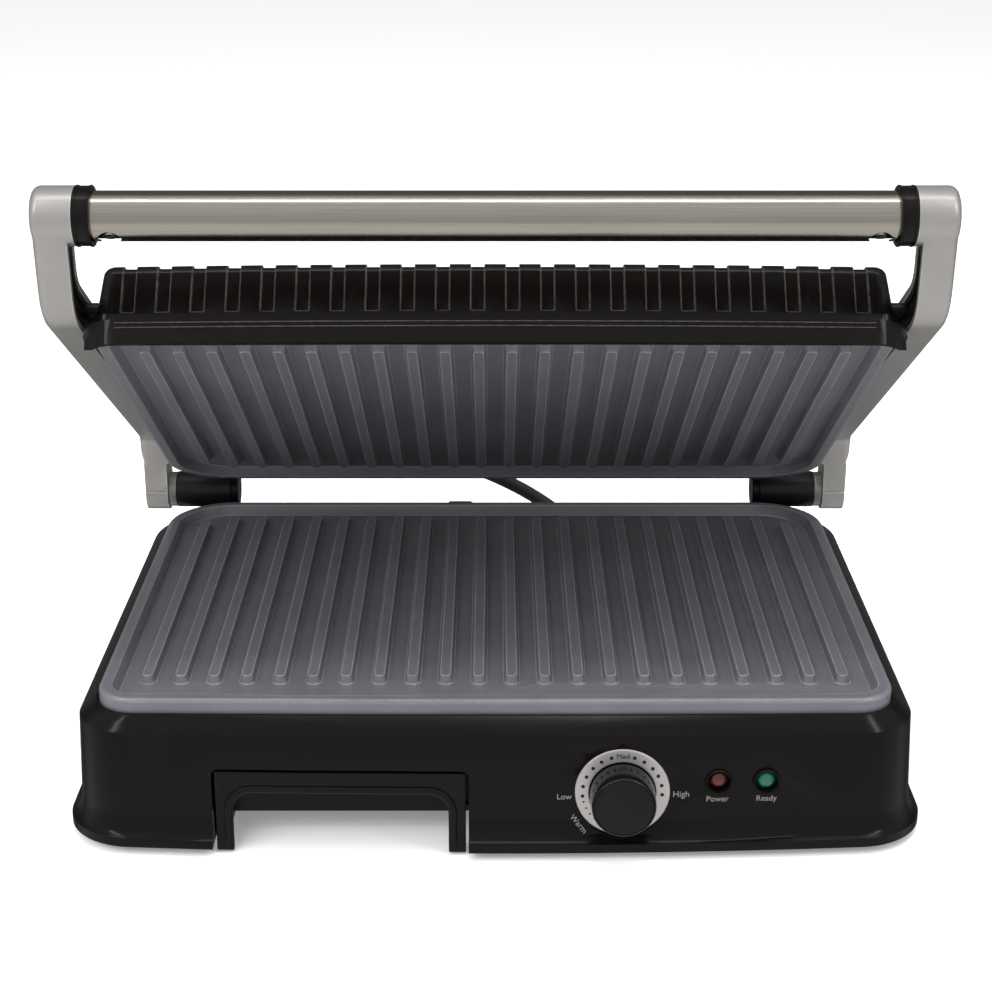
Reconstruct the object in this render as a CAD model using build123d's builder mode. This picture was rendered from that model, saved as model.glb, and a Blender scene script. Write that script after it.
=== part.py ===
from build123d import *
from math import cos, radians, sin
import os

# Contact grill: a ribbed lower plate in a base housing, and a ribbed upper plate in a lid that floats
# between two arms.  X runs left to right, Y front to back, Z up from the table.  Every piece is drawn
# about the plates' centre, the arms and lid closed; `at_rest` and `raised` set it in its final place.

# ---- overall sizes -------------------------------------------------------------------------------
plate_width = 300.0        # both grill plates, side to side
plate_depth = 220.0        # both grill plates, front to back
plate_top = 60.0           # table to the lower plate's rim
closed_gap = 3.2           # rim to rim with the lid down
rest_opening = 33.0        # degrees that the arms stand open at rest
hinge_setback = 13.0       # hinge axis behind the plates
hinge_rise = 1.8           # hinge axis above the lower rim
footprint_middle = 19.65   # centre of the overall box behind the plates' centre

# ---- grill plates --------------------------------------------------------------------------------
plate_front_radius = 15.0
plate_rear_radius = 29.0
plate_bow = 1.5            # how far the front edge is bowed
rim_width = 5.0
rim_depth = 4.5            # rim down to the ribbed floor
rim_draft = 25.0
skirt_depth = 6.6
boss_inset = 8.5           # heater boss inside the plate's outline
boss_depth = 2.0
rib_count = 22
rib_pitch = 12.7
rib_foot = 6.2             # rib width at the floor
rib_height = 3.5
rib_draft = 17.0
rib_front_gap = 24.0       # plate edge to the ribs' front ends
rib_rear_gap = 16.0
rib_corner_gap = 7.0       # the outermost ribs stop this much sooner at the back
drain_left = -86.0
drain_right = -27.0
drain_width = 5.0
drain_inset = 7.0          # drain slot's middle behind the plate's front edge
drain_clear = 0.6          # ledge cut back round the drain slot

# ---- base housing --------------------------------------------------------------------------------
shoulder_drop = 11.0       # rim to the break between bezel and wall
shoulder_reach = 8.0       # the break outside the plate's outline
rear_deck = 22.0           # how far the base runs on behind the plates
base_front_radius = 22.0
base_rear_radius = 40.0
base_bow = 4.0
bezel_show = 5.5           # plate rim to the bezel's inner edge
bezel_land = 1.6           # bezel's inner edge outside the plate
plate_fit = 0.4            # plate skirt to the recess that it sits in
ledge_inset = 7.0
ledge_thickness = 3.4
wall = 3.0
wall_draft = 1.2           # growth of the wall from the break to the foot
foot_top = 15.5
foot_band = 7.0
foot_flare = 4.6
flare_steps = 5
housing_bottom = 3.5
cover_thickness = 2.5
cover_fit = 0.4
screw_boss_radius = 4.0
screw_pilot = 1.4
foot_radius = 9.0

# ---- drip tray -----------------------------------------------------------------------------------
tray_left = -105.0
tray_right = -11.0
tray_gap = 1.1             # fascia to the opening that it closes
tray_face_top = 33.9
tray_face_bottom = 1.0
tray_face_thickness = 3.0
pull_margin = 6.5          # fascia legs beside the finger cut-out
pull_top = 25.2
pull_radius = 8.0
pan_setback = 9.6          # pan's front wall behind the base's front
pan_length = 122.4
pan_floor = 13.0
pan_top = 31.5
pan_wall = 1.6
pan_side_inset = 2.0
rail_gap = 0.3
rail_thickness = 2.0
rail_height = 14.0
rail_ledge = 4.0

# ---- controls ------------------------------------------------------------------------------------
dial_x = 47.4
dial_z = 26.3
dial_radius = 17.75
dial_bore = 13.0
dial_thickness = 0.8
dial_sink = 0.2
knob_radius = 12.2
knob_cap_radius = 11.6
knob_length = 12.0
knob_standoff = 0.6
shaft_radius = 3.0
shaft_fit = 0.05           # running clearance of the thermostat shaft
thermostat_radius = 12.5
thermostat_length = 15.0
power_lamp_x = 83.4
ready_lamp_x = 101.2
lamp_z = 30.4
lens_radius = 3.9
lamp_ring_radius = 5.0
lamp_sink = 2.8

# ---- lid -----------------------------------------------------------------------------------------
lip_reach = 7.5            # bezel lip in front of the upper plate
lip_side = 3.4             # bezel lip outside the upper plate
lip_drop = 5.0             # lip's lower edge below the upper rim
lip_height = 9.3
lip_gap = 3.9              # lip's back in front of the plate, below the bezel's wall
lip_return = 18.0          # how far the lip runs back along the sides
lip_low_return = 3.0       # the same below the bezel's wall
bezel_wall_rise = 1.2      # rim to the lower edge of the wall round the plate
bezel_wall_reach = 2.4     # wall in front of the plate
bezel_wall_side = 1.5
bezel_height = 1.2
lid_height = 29.8          # upper rim to the top of the lid
lid_front_radius = 8.0
lid_bow = 3.5              # how far the lid's front is bowed
lip_bow = 3.0
lid_inset = 0.6
lid_draft = 7.0
lid_wall = 2.6
lid_top_round = 4.0
flute_pitch = 13.0
flute_width = 5.0
flute_depth = 1.0
flute_foot = 2.2           # flutes stop this far above the bezel
flute_rear_gap = 20.0

# ---- arms and handle, closed ---------------------------------------------------------------------
arm_gap = 4.0              # plates' sides to the arms
arm_width = 12.8
arm_shell = 2.2
arm_cover_fit = 0.2
arm_cover_thickness = 2.0
arm_cover_recess = 0.3
handle_reach = 22.7        # handle's axis in front of the plates
handle_rise = 40.9         # handle's axis above the lower rim
handle_radius = 9.15
handle_sleeve_wall = 0.8
sleeve_fit = 0.25          # sleeve's inside to the core
collar_wall = 2.05         # collar outside the sleeve
collar_width = 8.9
arm_head_wall = 1.85       # arm's round head outside the sleeve
arm_head_step = 2.6        # arm's round head inside the arm's inner face
handle_screw_inset = 15.0  # handle screws inside the collars' outer ends
float_pivot_back = 18.0    # lid pivot behind the plates' front edge
float_pivot_rise = 18.6    # lid pivot above the lower rim
pivot_radius = 3.0
pivot_fit = 0.05
lug_margin = 1.0           # lug outside the barrel
lug_setback = 1.0          # lug's face behind the arm's inner face
lug_width = 10.4
hinge_pin_radius = 5.0
hinge_fit = 0.05
barrel_wall = 3.5
barrel_length = 25.4
barrel_gap = 4.0           # barrel to lug, filled by the washer
barrel_cap = 3.6
fixed_fit = 0.02           # parts that are pressed or screwed fast

# ---- heaters and wiring --------------------------------------------------------------------------
element_radius = 3.3
element_gap = 0.1
element_side = 35.0        # heater inside the plate's sides
element_bend = 18.0
shield_drop = 11.0         # plate boss to heat shield
shield_thickness = 0.8
shield_inset = 14.0
shield_front_gap = 18.0    # leaves the drain slot free
standoff_x = 60.0
standoff_inset = 65.0      # standoffs inside the plate's front and back
standoff_radius = 4.0
plate_screw_radius = 2.0
lead_radius = 3.3
gland_radius = 6.0
gland_length = 9.0
bushing_bore = 3.6

# ---- worked out from the sizes above -------------------------------------------------------------
plate_front = -plate_depth / 2
plate_back = plate_depth / 2
hinge_y = plate_back + hinge_setback
hinge_z = plate_top + hinge_rise
shoulder_z = plate_top - shoulder_drop
base_half = plate_width / 2 + shoulder_reach
base_front = plate_front - shoulder_reach
base_back = plate_back + rear_deck
ledge_top = plate_top - skirt_depth
boss_bottom = ledge_top - boss_depth
cavity_top = ledge_top - ledge_thickness
cover_top = housing_bottom + cover_thickness
upper_rim = plate_top + closed_gap
upper_skirt = upper_rim + skirt_depth
upper_boss = upper_skirt + boss_depth
bezel_top = upper_skirt + bezel_height
lid_top = upper_rim + lid_height
pivot_y = plate_front + float_pivot_back
pivot_z = plate_top + float_pivot_rise
handle_y = plate_front - handle_reach
handle_z = plate_top + handle_rise
handle_core_radius = handle_radius - handle_sleeve_wall - sleeve_fit
collar_radius = handle_radius + collar_wall
arm_head_radius = handle_radius + arm_head_wall
arm_inner = plate_width / 2 + arm_gap
arm_outer = arm_inner + arm_width
lug_inner = arm_inner + lug_setback
lug_outer = lug_inner + lug_width
barrel_radius = hinge_pin_radius + barrel_wall
lug_radius = barrel_radius + lug_margin
barrel_outer = lug_inner - barrel_gap
barrel_inner = barrel_outer - barrel_length
dial_seat = base_front + dial_sink
lamp_seat = base_front + lamp_sink
pan_front = base_front + pan_setback
pan_back = pan_front + pan_length
standoff_y = plate_depth / 2 - standoff_inset
shield_z = boss_bottom - shield_drop

PLATE_UP = Plane.XY.offset(plate_top)
PLATE_DOWN = Plane(origin=(0, 0, upper_rim), x_dir=(-1, 0, 0), z_dir=(0, 0, -1))

os.makedirs("parts", exist_ok=True)


def at_rest(solid):
    """Set a base piece down with the overall box centred on the origin."""
    return solid.moved(Location((0, -footprint_middle, 0)))


def raised(solid):
    """Swing an arm or lid piece open about the rear hinge, then set it down."""
    return at_rest(solid.rotate(Axis((0, hinge_y, hinge_z), (1, 0, 0)), -rest_opening))


def plan(half_width, front, back, front_radius, rear_radius, bow):
    """Plan outline with a bowed front edge and rounded corners, in the sketch that is open."""
    corner = front + bow
    with BuildLine() as edge:
        ThreePointArc((-half_width, corner), (0, front), (half_width, corner))
        Polyline((half_width, corner), (half_width, back), (-half_width, back), (-half_width, corner))
    make_face(edge.edges())
    fillet(vertices().sort_by(Axis.Y)[:2], front_radius)
    fillet(vertices().sort_by(Axis.Y)[-2:], rear_radius)


def plate_plan(inset):
    """Outline of a grill plate, drawn in by `inset`."""
    plan(plate_width / 2 - inset, plate_front + inset, plate_back - inset,
         plate_front_radius - min(inset, plate_front_radius - 4), plate_rear_radius - inset, plate_bow)


def base_plan(grow):
    """Outline of the base at its shoulder, grown by `grow`."""
    plan(base_half + grow, base_front - grow, base_back + grow,
         base_front_radius + grow, base_rear_radius + grow, base_bow + grow / 2)


def grill_plate(face):
    """Cast plate on the plane of its rim: raised rim, sunken floor with ribs, heater boss behind."""
    with BuildSketch(face) as slab:
        plate_plan(0)
    extrude(slab.sketch, amount=-skirt_depth)
    fillet(faces().sort_by(Axis(face.origin, face.z_dir))[-1].edges(), 1.6)
    with BuildSketch(face) as hollow:
        plate_plan(rim_width)
    extrude(hollow.sketch, amount=-rim_depth, taper=rim_draft, mode=Mode.SUBTRACT)
    with BuildSketch(face.offset(-skirt_depth)) as boss:
        plate_plan(boss_inset)
    extrude(boss.sketch, amount=-boss_depth)
    rib_front = plate_front + rib_front_gap
    with BuildSketch(face.offset(-rim_depth - 0.2)) as ribs:
        for number in range(rib_count):
            x = (number - (rib_count - 1) / 2) * rib_pitch
            outermost = number in (0, rib_count - 1)
            rib_back = plate_back - rib_rear_gap - (rib_corner_gap if outermost else 0)
            with Locations((x, (rib_front + rib_back) / 2)):
                SlotOverall(rib_back - rib_front, rib_foot, rotation=90)
    extrude(ribs.sketch, amount=rib_height, taper=rib_draft)


def round_bar(y, z, radius, start, end, mode=Mode.ADD):
    """Cylinder along X from `start` to `end`."""
    with BuildSketch(Plane.YZ.offset(start)) as disc:
        with Locations((y, z)):
            Circle(radius)
    extrude(disc.sketch, amount=end - start, mode=mode)


def front_bar(x, z, radius, y_back, y_front, mode=Mode.ADD):
    """Cylinder along Y from `y_back` forward to `y_front`."""
    with BuildSketch(Plane.XZ.offset(-y_back)) as disc:
        with Locations((x, z)):
            Circle(radius)
    extrude(disc.sketch, amount=y_back - y_front, mode=mode)


def post(places, radius, bottom, top, mode=Mode.ADD):
    """Upright cylinders at the listed places."""
    with BuildSketch(Plane.XY.offset(bottom)) as discs:
        with Locations(*places):
            Circle(radius)
    extrude(discs.sketch, amount=top - bottom, mode=mode)


def block(x0, x1, y0, y1, z0, z1, mode=Mode.ADD):
    """Square-edged block between two corners."""
    with BuildSketch(Plane.XY.offset(z0)) as base:
        with Locations(((x0 + x1) / 2, (y0 + y1) / 2)):
            Rectangle(x1 - x0, y1 - y0)
    extrude(base.sketch, amount=z1 - z0, mode=mode)


# ---- lower grill plate ---------------------------------------------------------------------------
standoff_places = [(x, y) for x in (-standoff_x, standoff_x) for y in (-standoff_y, standoff_y)]

with BuildPart() as lower_grill_plate:
    grill_plate(PLATE_UP)
    with BuildSketch(PLATE_UP):
        with Locations(((drain_left + drain_right) / 2, plate_front + drain_inset)):
            SlotOverall(drain_right - drain_left, drain_width)
    extrude(amount=-skirt_depth - boss_depth, mode=Mode.SUBTRACT)
    post(standoff_places, plate_screw_radius + fixed_fit, boss_bottom, boss_bottom + 2.6, Mode.SUBTRACT)
lower_grill_plate.part.label = "lower_grill_plate"
export_step(at_rest(lower_grill_plate.part), "parts/lower_grill_plate.step")

# ---- base housing --------------------------------------------------------------------------------
hinge_foot_half = 7.0
cover_screw_places = [(x * (base_half - 11), y) for x in (-1, 1) for y in (base_front + 26, 0, base_back - 42)]
hinge_screw_places = [(side * (barrel_inner + inset), hinge_y - hinge_foot_half / 2)
                      for side in (-1, 1) for inset in (3.4, 9.4)]
foot_places = [(x * (base_half - 28), base_front + 32) for x in (-1, 1)]
foot_places += [(x * (base_half - 46), base_back - 40) for x in (-1, 1)]
tray_opening_left = tray_left - tray_gap
tray_opening_right = tray_right + tray_gap
tray_opening_top = tray_face_top + tray_gap
lead_gland_x = 40.0
lead_gland_z = 30.0
lid_gland_x = -26.0
lid_gland_z = bezel_top + 11.0
cord_bushing_x = -60.0
cord_bushing_z = 26.0
cord_bushing_radius = 7.0
hinge_foot_outer = barrel_inner + 12.4
hinge_screw_radius = 1.8
hinge_screw_reach = 7.0

with BuildPart() as base_housing:
    with BuildSketch(Plane.XY.offset(plate_top - bezel_show)):
        plate_plan(-bezel_land)
    with BuildSketch(Plane.XY.offset(shoulder_z)):
        base_plan(0)
    for step in range(flare_steps):
        turn = radians(90 * step / (flare_steps - 1))
        with BuildSketch(Plane.XY.offset(foot_top - (foot_top - foot_band) * sin(turn))):
            base_plan(wall_draft + foot_flare * (1 - cos(turn)))
    with BuildSketch(Plane.XY.offset(housing_bottom)):
        base_plan(wall_draft + foot_flare)
    loft(ruled=True)
    with BuildSketch(Plane.XY.offset(housing_bottom)):
        base_plan(-wall)
    extrude(amount=shoulder_z - wall - housing_bottom, mode=Mode.SUBTRACT)
    with BuildSketch(Plane.XY.offset(shoulder_z - wall)):
        plate_plan(ledge_inset - ledge_thickness)
    extrude(amount=cavity_top - shoulder_z + wall, mode=Mode.SUBTRACT)
    with BuildSketch(Plane.XY.offset(cavity_top - 0.1)):
        plate_plan(ledge_inset)
    extrude(amount=plate_top - cavity_top, mode=Mode.SUBTRACT)
    with BuildSketch(Plane.XY.offset(ledge_top)):
        plate_plan(-plate_fit)
    extrude(amount=skirt_depth, mode=Mode.SUBTRACT)
    slot_front = plate_front + drain_inset - drain_width / 2
    block(drain_left - drain_clear, drain_right + drain_clear, slot_front - drain_clear,
          slot_front + drain_width, cavity_top - 1, ledge_top, Mode.SUBTRACT)
    with BuildSketch(Plane.XZ.offset(-base_front - 2 * wall)):
        with Locations(((tray_opening_left + tray_opening_right) / 2, (tray_opening_top - 20) / 2)):
            RectangleRounded(tray_opening_right - tray_opening_left, tray_opening_top + 20, 3)
    extrude(amount=6 * wall, mode=Mode.SUBTRACT)
    front_bar(dial_x, dial_z, dial_radius + 0.3, dial_seat, dial_seat - 12, Mode.SUBTRACT)
    front_bar(dial_x, dial_z, 5.5, dial_seat + 8, dial_seat - 12, Mode.SUBTRACT)
    for x in (power_lamp_x, ready_lamp_x):
        front_bar(x, lamp_z, lamp_ring_radius + 0.1, lamp_seat, lamp_seat - 12, Mode.SUBTRACT)
        front_bar(x, lamp_z, lens_radius + 0.1, lamp_seat + 8, lamp_seat - 12, Mode.SUBTRACT)
    front_bar(lead_gland_x, lead_gland_z, gland_radius, base_back + 8, base_back - 12, Mode.SUBTRACT)
    front_bar(cord_bushing_x, cord_bushing_z, cord_bushing_radius, base_back + 8, base_back - 12, Mode.SUBTRACT)
    for side in (-1, 1):
        inner, outer = sorted((side * barrel_inner, side * hinge_foot_outer))
        block(inner - 0.2, outer + 0.2, hinge_y - hinge_foot_half - 0.2, hinge_y + hinge_foot_half + 0.2,
              shoulder_z, hinge_z, Mode.SUBTRACT)
    post(cover_screw_places, screw_boss_radius, cover_top, cavity_top)
    post(cover_screw_places, screw_pilot, cover_top, cover_top + 12, Mode.SUBTRACT)
    post(hinge_screw_places, 2.0, shoulder_z - wall - 1, hinge_z, Mode.SUBTRACT)
base_housing.part.label = "base_housing"
export_step(at_rest(base_housing.part), "parts/base_housing.step")

# ---- bottom cover, feet and screws ---------------------------------------------------------------
tray_bay_back = base_front + 28

with BuildPart() as base_bottom_cover:
    with BuildSketch(Plane.XY.offset(housing_bottom)):
        base_plan(-wall - cover_fit)
    extrude(amount=cover_thickness)
    block(tray_opening_left, tray_opening_right, base_front - 5, tray_bay_back, 0, plate_top, Mode.SUBTRACT)
    post(foot_places, 2.9, 0, plate_top, Mode.SUBTRACT)
    post(cover_screw_places, screw_pilot + 0.3, 0, plate_top, Mode.SUBTRACT)
    with BuildSketch(Plane.XY):
        with GridLocations(9, 1, 8, 1):
            with Locations((70, 10)):
                SlotOverall(46, 3.4, rotation=90)
    extrude(amount=plate_top, mode=Mode.SUBTRACT)
base_bottom_cover.part.label = "base_bottom_cover"
export_step(at_rest(base_bottom_cover.part), "parts/base_bottom_cover.step")

with BuildPart() as rubber_feet:
    post(foot_places, foot_radius, 0, housing_bottom)
    fillet(faces().sort_by(Axis.Z)[:len(foot_places)].edges(), 0.8)
    post(foot_places, 2.8, housing_bottom, cover_top + 0.6)
rubber_feet.part.label = "rubber_feet"
export_step(at_rest(rubber_feet.part), "parts/rubber_feet.step")

with BuildPart() as cover_screws:
    post(cover_screw_places, 3.2, housing_bottom - 1.6, housing_bottom)
    post(cover_screw_places, screw_pilot - fixed_fit, housing_bottom, cover_top + 11)
cover_screws.part.label = "cover_screws"
export_step(at_rest(cover_screws.part), "parts/cover_screws.step")

# ---- drip tray and its rails ---------------------------------------------------------------------
pan_left = tray_left + pan_side_inset
pan_right = tray_right - pan_side_inset

with BuildPart() as drip_tray:
    with BuildSketch(Plane.XY.offset(tray_face_bottom)):
        base_plan(wall_draft / 2)
    extrude(amount=tray_face_top - tray_face_bottom)
    with BuildSketch(Plane.XY.offset(tray_face_bottom)):
        base_plan(wall_draft / 2 - tray_face_thickness)
    extrude(amount=tray_face_top - tray_face_bottom, mode=Mode.SUBTRACT)
    block(tray_left, tray_right, 2 * plate_front, 0, 0, plate_top, Mode.INTERSECT)
    block(pan_left, pan_right, base_front + 1.5, pan_front + pan_wall, pan_floor, pan_top)
    with BuildSketch(Plane.XZ.offset(-pan_front)):
        with Locations(((tray_left + tray_right) / 2, 0)):
            RectangleRounded(tray_right - tray_left - 2 * pull_margin, 2 * pull_top, pull_radius)
    extrude(amount=pan_front - base_front + 10, mode=Mode.SUBTRACT)
    block(pan_left, pan_right, pan_front, pan_back, pan_floor, pan_top)
    block(pan_left + pan_wall, pan_right - pan_wall, pan_front + pan_wall, pan_back - pan_wall,
          pan_floor + pan_wall, plate_top, Mode.SUBTRACT)
drip_tray.part.label = "drip_tray"
export_step(at_rest(drip_tray.part), "parts/drip_tray.step")

rail_front = tray_bay_back + 2

with BuildPart() as tray_rails:
    for side_x, inward in ((pan_left - rail_gap, 1), (pan_right + rail_gap, -1)):
        near, far = sorted((side_x, side_x - inward * rail_thickness))
        block(near, far, rail_front, pan_back, cover_top, cover_top + rail_height)
        near, far = sorted((side_x - inward * rail_thickness, side_x + inward * rail_ledge))
        block(near, far, rail_front, pan_back, pan_floor - rail_gap - rail_thickness, pan_floor - rail_gap)
tray_rails.part.label = "tray_rails"
export_step(at_rest(tray_rails.part), "parts/tray_rails.step")

# ---- controls ------------------------------------------------------------------------------------
dial_front = dial_seat - dial_thickness
knob_back = dial_front - knob_standoff
bracket_back = base_front + 14
shaft_back = bracket_back + 6

with BuildPart() as dial_plate:
    front_bar(dial_x, dial_z, dial_radius, dial_seat, dial_front)
    front_bar(dial_x, dial_z, dial_bore - 2.5, dial_seat, dial_front, Mode.SUBTRACT)
dial_plate.part.label = "dial_plate"
export_step(at_rest(dial_plate.part), "parts/dial_plate.step")

with BuildPart() as knob:
    with BuildSketch(Plane.XZ.offset(-knob_back)):
        with Locations((dial_x, dial_z)):
            Circle(knob_radius)
    extrude(amount=knob_length, taper=2.0)
    fillet(faces().sort_by(Axis.Y)[0].edges(), 1.0)
    front_bar(dial_x, dial_z, knob_cap_radius - 1.8, knob_back - knob_length + 0.6, knob_back - knob_length - 1,
              Mode.SUBTRACT)
    front_bar(dial_x, dial_z, shaft_radius + fixed_fit, knob_back, knob_back - 9, Mode.SUBTRACT)
knob.part.label = "knob"
export_step(at_rest(knob.part), "parts/knob.step")

with BuildPart() as knob_cap:
    front_bar(dial_x, dial_z, knob_cap_radius - 1.9, knob_back - knob_length + 0.6, knob_back - knob_length)
knob_cap.part.label = "knob_cap"
export_step(at_rest(knob_cap.part), "parts/knob_cap.step")

with BuildPart() as thermostat_shaft:
    front_bar(dial_x, dial_z, shaft_radius, shaft_back, knob_back - 9 + 0.2)
thermostat_shaft.part.label = "thermostat_shaft"
export_step(at_rest(thermostat_shaft.part), "parts/thermostat_shaft.step")

with BuildPart() as thermostat:
    front_bar(dial_x, dial_z, thermostat_radius, bracket_back + thermostat_length, bracket_back)
    front_bar(dial_x, dial_z, 5.0, bracket_back, bracket_back - 5)
    front_bar(dial_x, dial_z, shaft_radius + shaft_fit, shaft_back + 1, bracket_back - 5, Mode.SUBTRACT)
    block(dial_x - 8, dial_x + 8, bracket_back + thermostat_length, bracket_back + thermostat_length + 6,
          dial_z + 4, dial_z + 5)
thermostat.part.label = "thermostat"
export_step(at_rest(thermostat.part), "parts/thermostat.step")

with BuildPart() as thermostat_bracket:
    block(dial_x - 18, dial_x + 18, bracket_back - 1.2, bracket_back, cover_top, dial_z + thermostat_radius)
    block(dial_x - 18, dial_x + 18, bracket_back - 9, bracket_back, cover_top, cover_top + 1.2)
    front_bar(dial_x, dial_z, 5.0 + fixed_fit, bracket_back + 1, bracket_back - 3, Mode.SUBTRACT)
thermostat_bracket.part.label = "thermostat_bracket"
export_step(at_rest(thermostat_bracket.part), "parts/thermostat_bracket.step")

for lamp_name, lamp_x in (("power_lamp", power_lamp_x), ("ready_lamp", ready_lamp_x)):
    with BuildPart() as lens:
        front_bar(lamp_x, lamp_z, lens_radius, lamp_seat + 3, lamp_seat - 1.8)
        fillet(faces().sort_by(Axis.Y)[0].edges(), 1.4)
    lens.part.label = lamp_name + "_lens"
    export_step(at_rest(lens.part), f"parts/{lamp_name}_lens.step")

with BuildPart() as lamp_sockets:
    for lamp_x in (power_lamp_x, ready_lamp_x):
        front_bar(lamp_x, lamp_z, lens_radius + 1.5, lamp_seat + 20, lamp_seat + 3)
        front_bar(lamp_x, lamp_z, lens_radius - 0.6, lamp_seat + 16, lamp_seat + 3, Mode.SUBTRACT)
        front_bar(lamp_x, lamp_z, 2.2, lamp_seat + 16, lamp_seat + 6)
lamp_sockets.part.label = "lamp_sockets"
export_step(at_rest(lamp_sockets.part), "parts/lamp_sockets.step")

with BuildPart() as lamp_bezels:
    for lamp_x in (power_lamp_x, ready_lamp_x):
        front_bar(lamp_x, lamp_z, lamp_ring_radius, lamp_seat, lamp_seat - 2.2)
        front_bar(lamp_x, lamp_z, lens_radius + 0.1, lamp_seat + 1, lamp_seat - 4, Mode.SUBTRACT)
lamp_bezels.part.label = "lamp_bezels"
export_step(at_rest(lamp_bezels.part), "parts/lamp_bezels.step")

# ---- upper grill plate, lid bezel and lid cover --------------------------------------------------
with BuildPart() as upper_grill_plate:
    grill_plate(PLATE_DOWN)
    post(standoff_places, plate_screw_radius + fixed_fit, upper_boss - 2.6, upper_boss, Mode.SUBTRACT)
upper_grill_plate.part.label = "upper_grill_plate"
export_step(raised(upper_grill_plate.part), "parts/upper_grill_plate.step")

lip_bottom = upper_rim - lip_drop
bezel_wall_bottom = upper_rim + bezel_wall_rise

with BuildPart() as upper_bezel:
    with BuildSketch(Plane.XY.offset(lip_bottom)):
        plan(plate_width / 2 + lip_side, plate_front - lip_reach, 0, plate_front_radius, 1, lip_bow)
    extrude(amount=lip_height)
    with BuildSketch(Plane.XY.offset(lip_bottom)):
        plan(plate_width / 2 + plate_fit, plate_front - lip_gap, 0, plate_front_radius - lip_side, 1, plate_bow)
    extrude(amount=bezel_wall_bottom - lip_bottom, mode=Mode.SUBTRACT)
    block(-plate_width, plate_width, plate_front + lip_low_return, 1, 0, bezel_wall_bottom, Mode.SUBTRACT)
    with BuildSketch(Plane.XY.offset(bezel_wall_bottom)):
        plan(plate_width / 2 + bezel_wall_side, plate_front - bezel_wall_reach, 0,
             lid_front_radius + bezel_wall_side, 1, plate_bow)
    extrude(amount=bezel_top - bezel_wall_bottom)
    block(-plate_width, plate_width, plate_front + lip_return, 1, 0, 2 * plate_top, Mode.SUBTRACT)
    with BuildSketch(Plane.XY.offset(upper_rim)):
        plate_plan(-plate_fit)
    extrude(amount=skirt_depth + 0.05, mode=Mode.SUBTRACT)
    with BuildSketch(Plane.XY.offset(upper_skirt)):
        plate_plan(0)
    extrude(amount=bezel_height)
    with BuildSketch(Plane.XY.offset(upper_skirt - 1)):
        plate_plan(ledge_inset)
    extrude(amount=bezel_height + 2, mode=Mode.SUBTRACT)
upper_bezel.part.label = "upper_bezel"
export_step(raised(upper_bezel.part), "parts/upper_bezel.step")


def lid_plan(inset):
    """Outline of the lid cover, drawn in by `inset` from the plate's sides."""
    plan(plate_width / 2 - inset, plate_front + inset, plate_back - inset,
         max(lid_front_radius - inset, 2.5), plate_rear_radius - inset, lid_bow)


def lid_front_y(z):
    """Front face of the lid cover at height z, on the centre line."""
    return plate_front + lid_inset + (z - bezel_top) * sin(radians(lid_draft)) / cos(radians(lid_draft))


with BuildPart() as upper_housing:
    with BuildSketch(Plane.XY.offset(bezel_top)):
        lid_plan(lid_inset)
    shoulder = lid_front_y(lid_top - lid_top_round) - plate_front
    for step in range(flare_steps):
        turn = radians(90 * step / (flare_steps - 1))
        with BuildSketch(Plane.XY.offset(lid_top - lid_top_round * (1 - sin(turn)))):
            lid_plan(shoulder + lid_top_round * (1 - cos(turn)))
    loft(ruled=True)
    with BuildSketch(Plane.XY.offset(bezel_top)):
        lid_plan(lid_inset + lid_wall)
    extrude(amount=lid_top - bezel_top - lid_wall, taper=lid_draft, mode=Mode.SUBTRACT)
    flute_low = bezel_top + flute_foot
    flute_high = lid_top - flute_depth
    for number in range(rib_count):
        x = (number - (rib_count - 1) / 2) * flute_pitch
        bow = lid_bow * (2 * x / plate_width) ** 2
        with BuildSketch(Plane.YZ.offset(x - flute_width / 2)):
            with BuildLine():
                Polyline(
                    (plate_front - 9, flute_low),
                    (lid_front_y(flute_low) + bow + flute_depth, flute_low),
                    (lid_front_y(flute_high) + bow + flute_depth, flute_high),
                    (plate_back - flute_rear_gap, flute_high),
                    (plate_back - flute_rear_gap, lid_top + 9),
                    (plate_front - 9, lid_top + 9),
                    close=True,
                )
            make_face()
            top_corner = (lid_front_y(flute_high) + bow + flute_depth, flute_high)
            fillet(vertices().sort_by_distance(top_corner)[0], lid_top_round - flute_depth)
        extrude(amount=flute_width, mode=Mode.SUBTRACT)
    round_bar(pivot_y, pivot_z, pivot_radius + 0.5, -plate_width, plate_width, Mode.SUBTRACT)
    front_bar(lid_gland_x, lid_gland_z, gland_radius, plate_back + 9, plate_back - 9, Mode.SUBTRACT)
upper_housing.part.label = "upper_housing"
export_step(raised(upper_housing.part), "parts/upper_housing.step")

# ---- arms ----------------------------------------------------------------------------------------
# The arm's side view, closed: a slim bar beside the lid that turns up to the handle in front.
arm_outline = (
    (handle_y - 8.3, handle_z - 3.6),
    (plate_front - 4.8, plate_top + 6.6),
    (plate_back - 11.1, plate_top + 19.3),
    (hinge_y - 9.0, hinge_z - 3.3),
    (hinge_y, hinge_z),
    (hinge_y + 8.5, hinge_z + 4.2),
    (plate_back, plate_top + 32.0),
    (plate_front - 2.8, plate_top + 23.0),
    (handle_y + 4.7, handle_z),
)
arm_rounds = (0, 22, 6, 0, 0, 0, 12, 12, 0)
arm_bar_end = plate_back - 4


def arm_profile(inset):
    """Side view of an arm in the sketch that is open, drawn in by `inset`."""
    with BuildLine() as edge:
        FilletPolyline(*arm_outline, radius=arm_rounds, close=True)
    make_face(edge.edges())
    with Locations((handle_y, handle_z)):
        Circle(arm_head_radius)
    if inset:
        offset(amount=-inset, mode=Mode.REPLACE)


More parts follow.
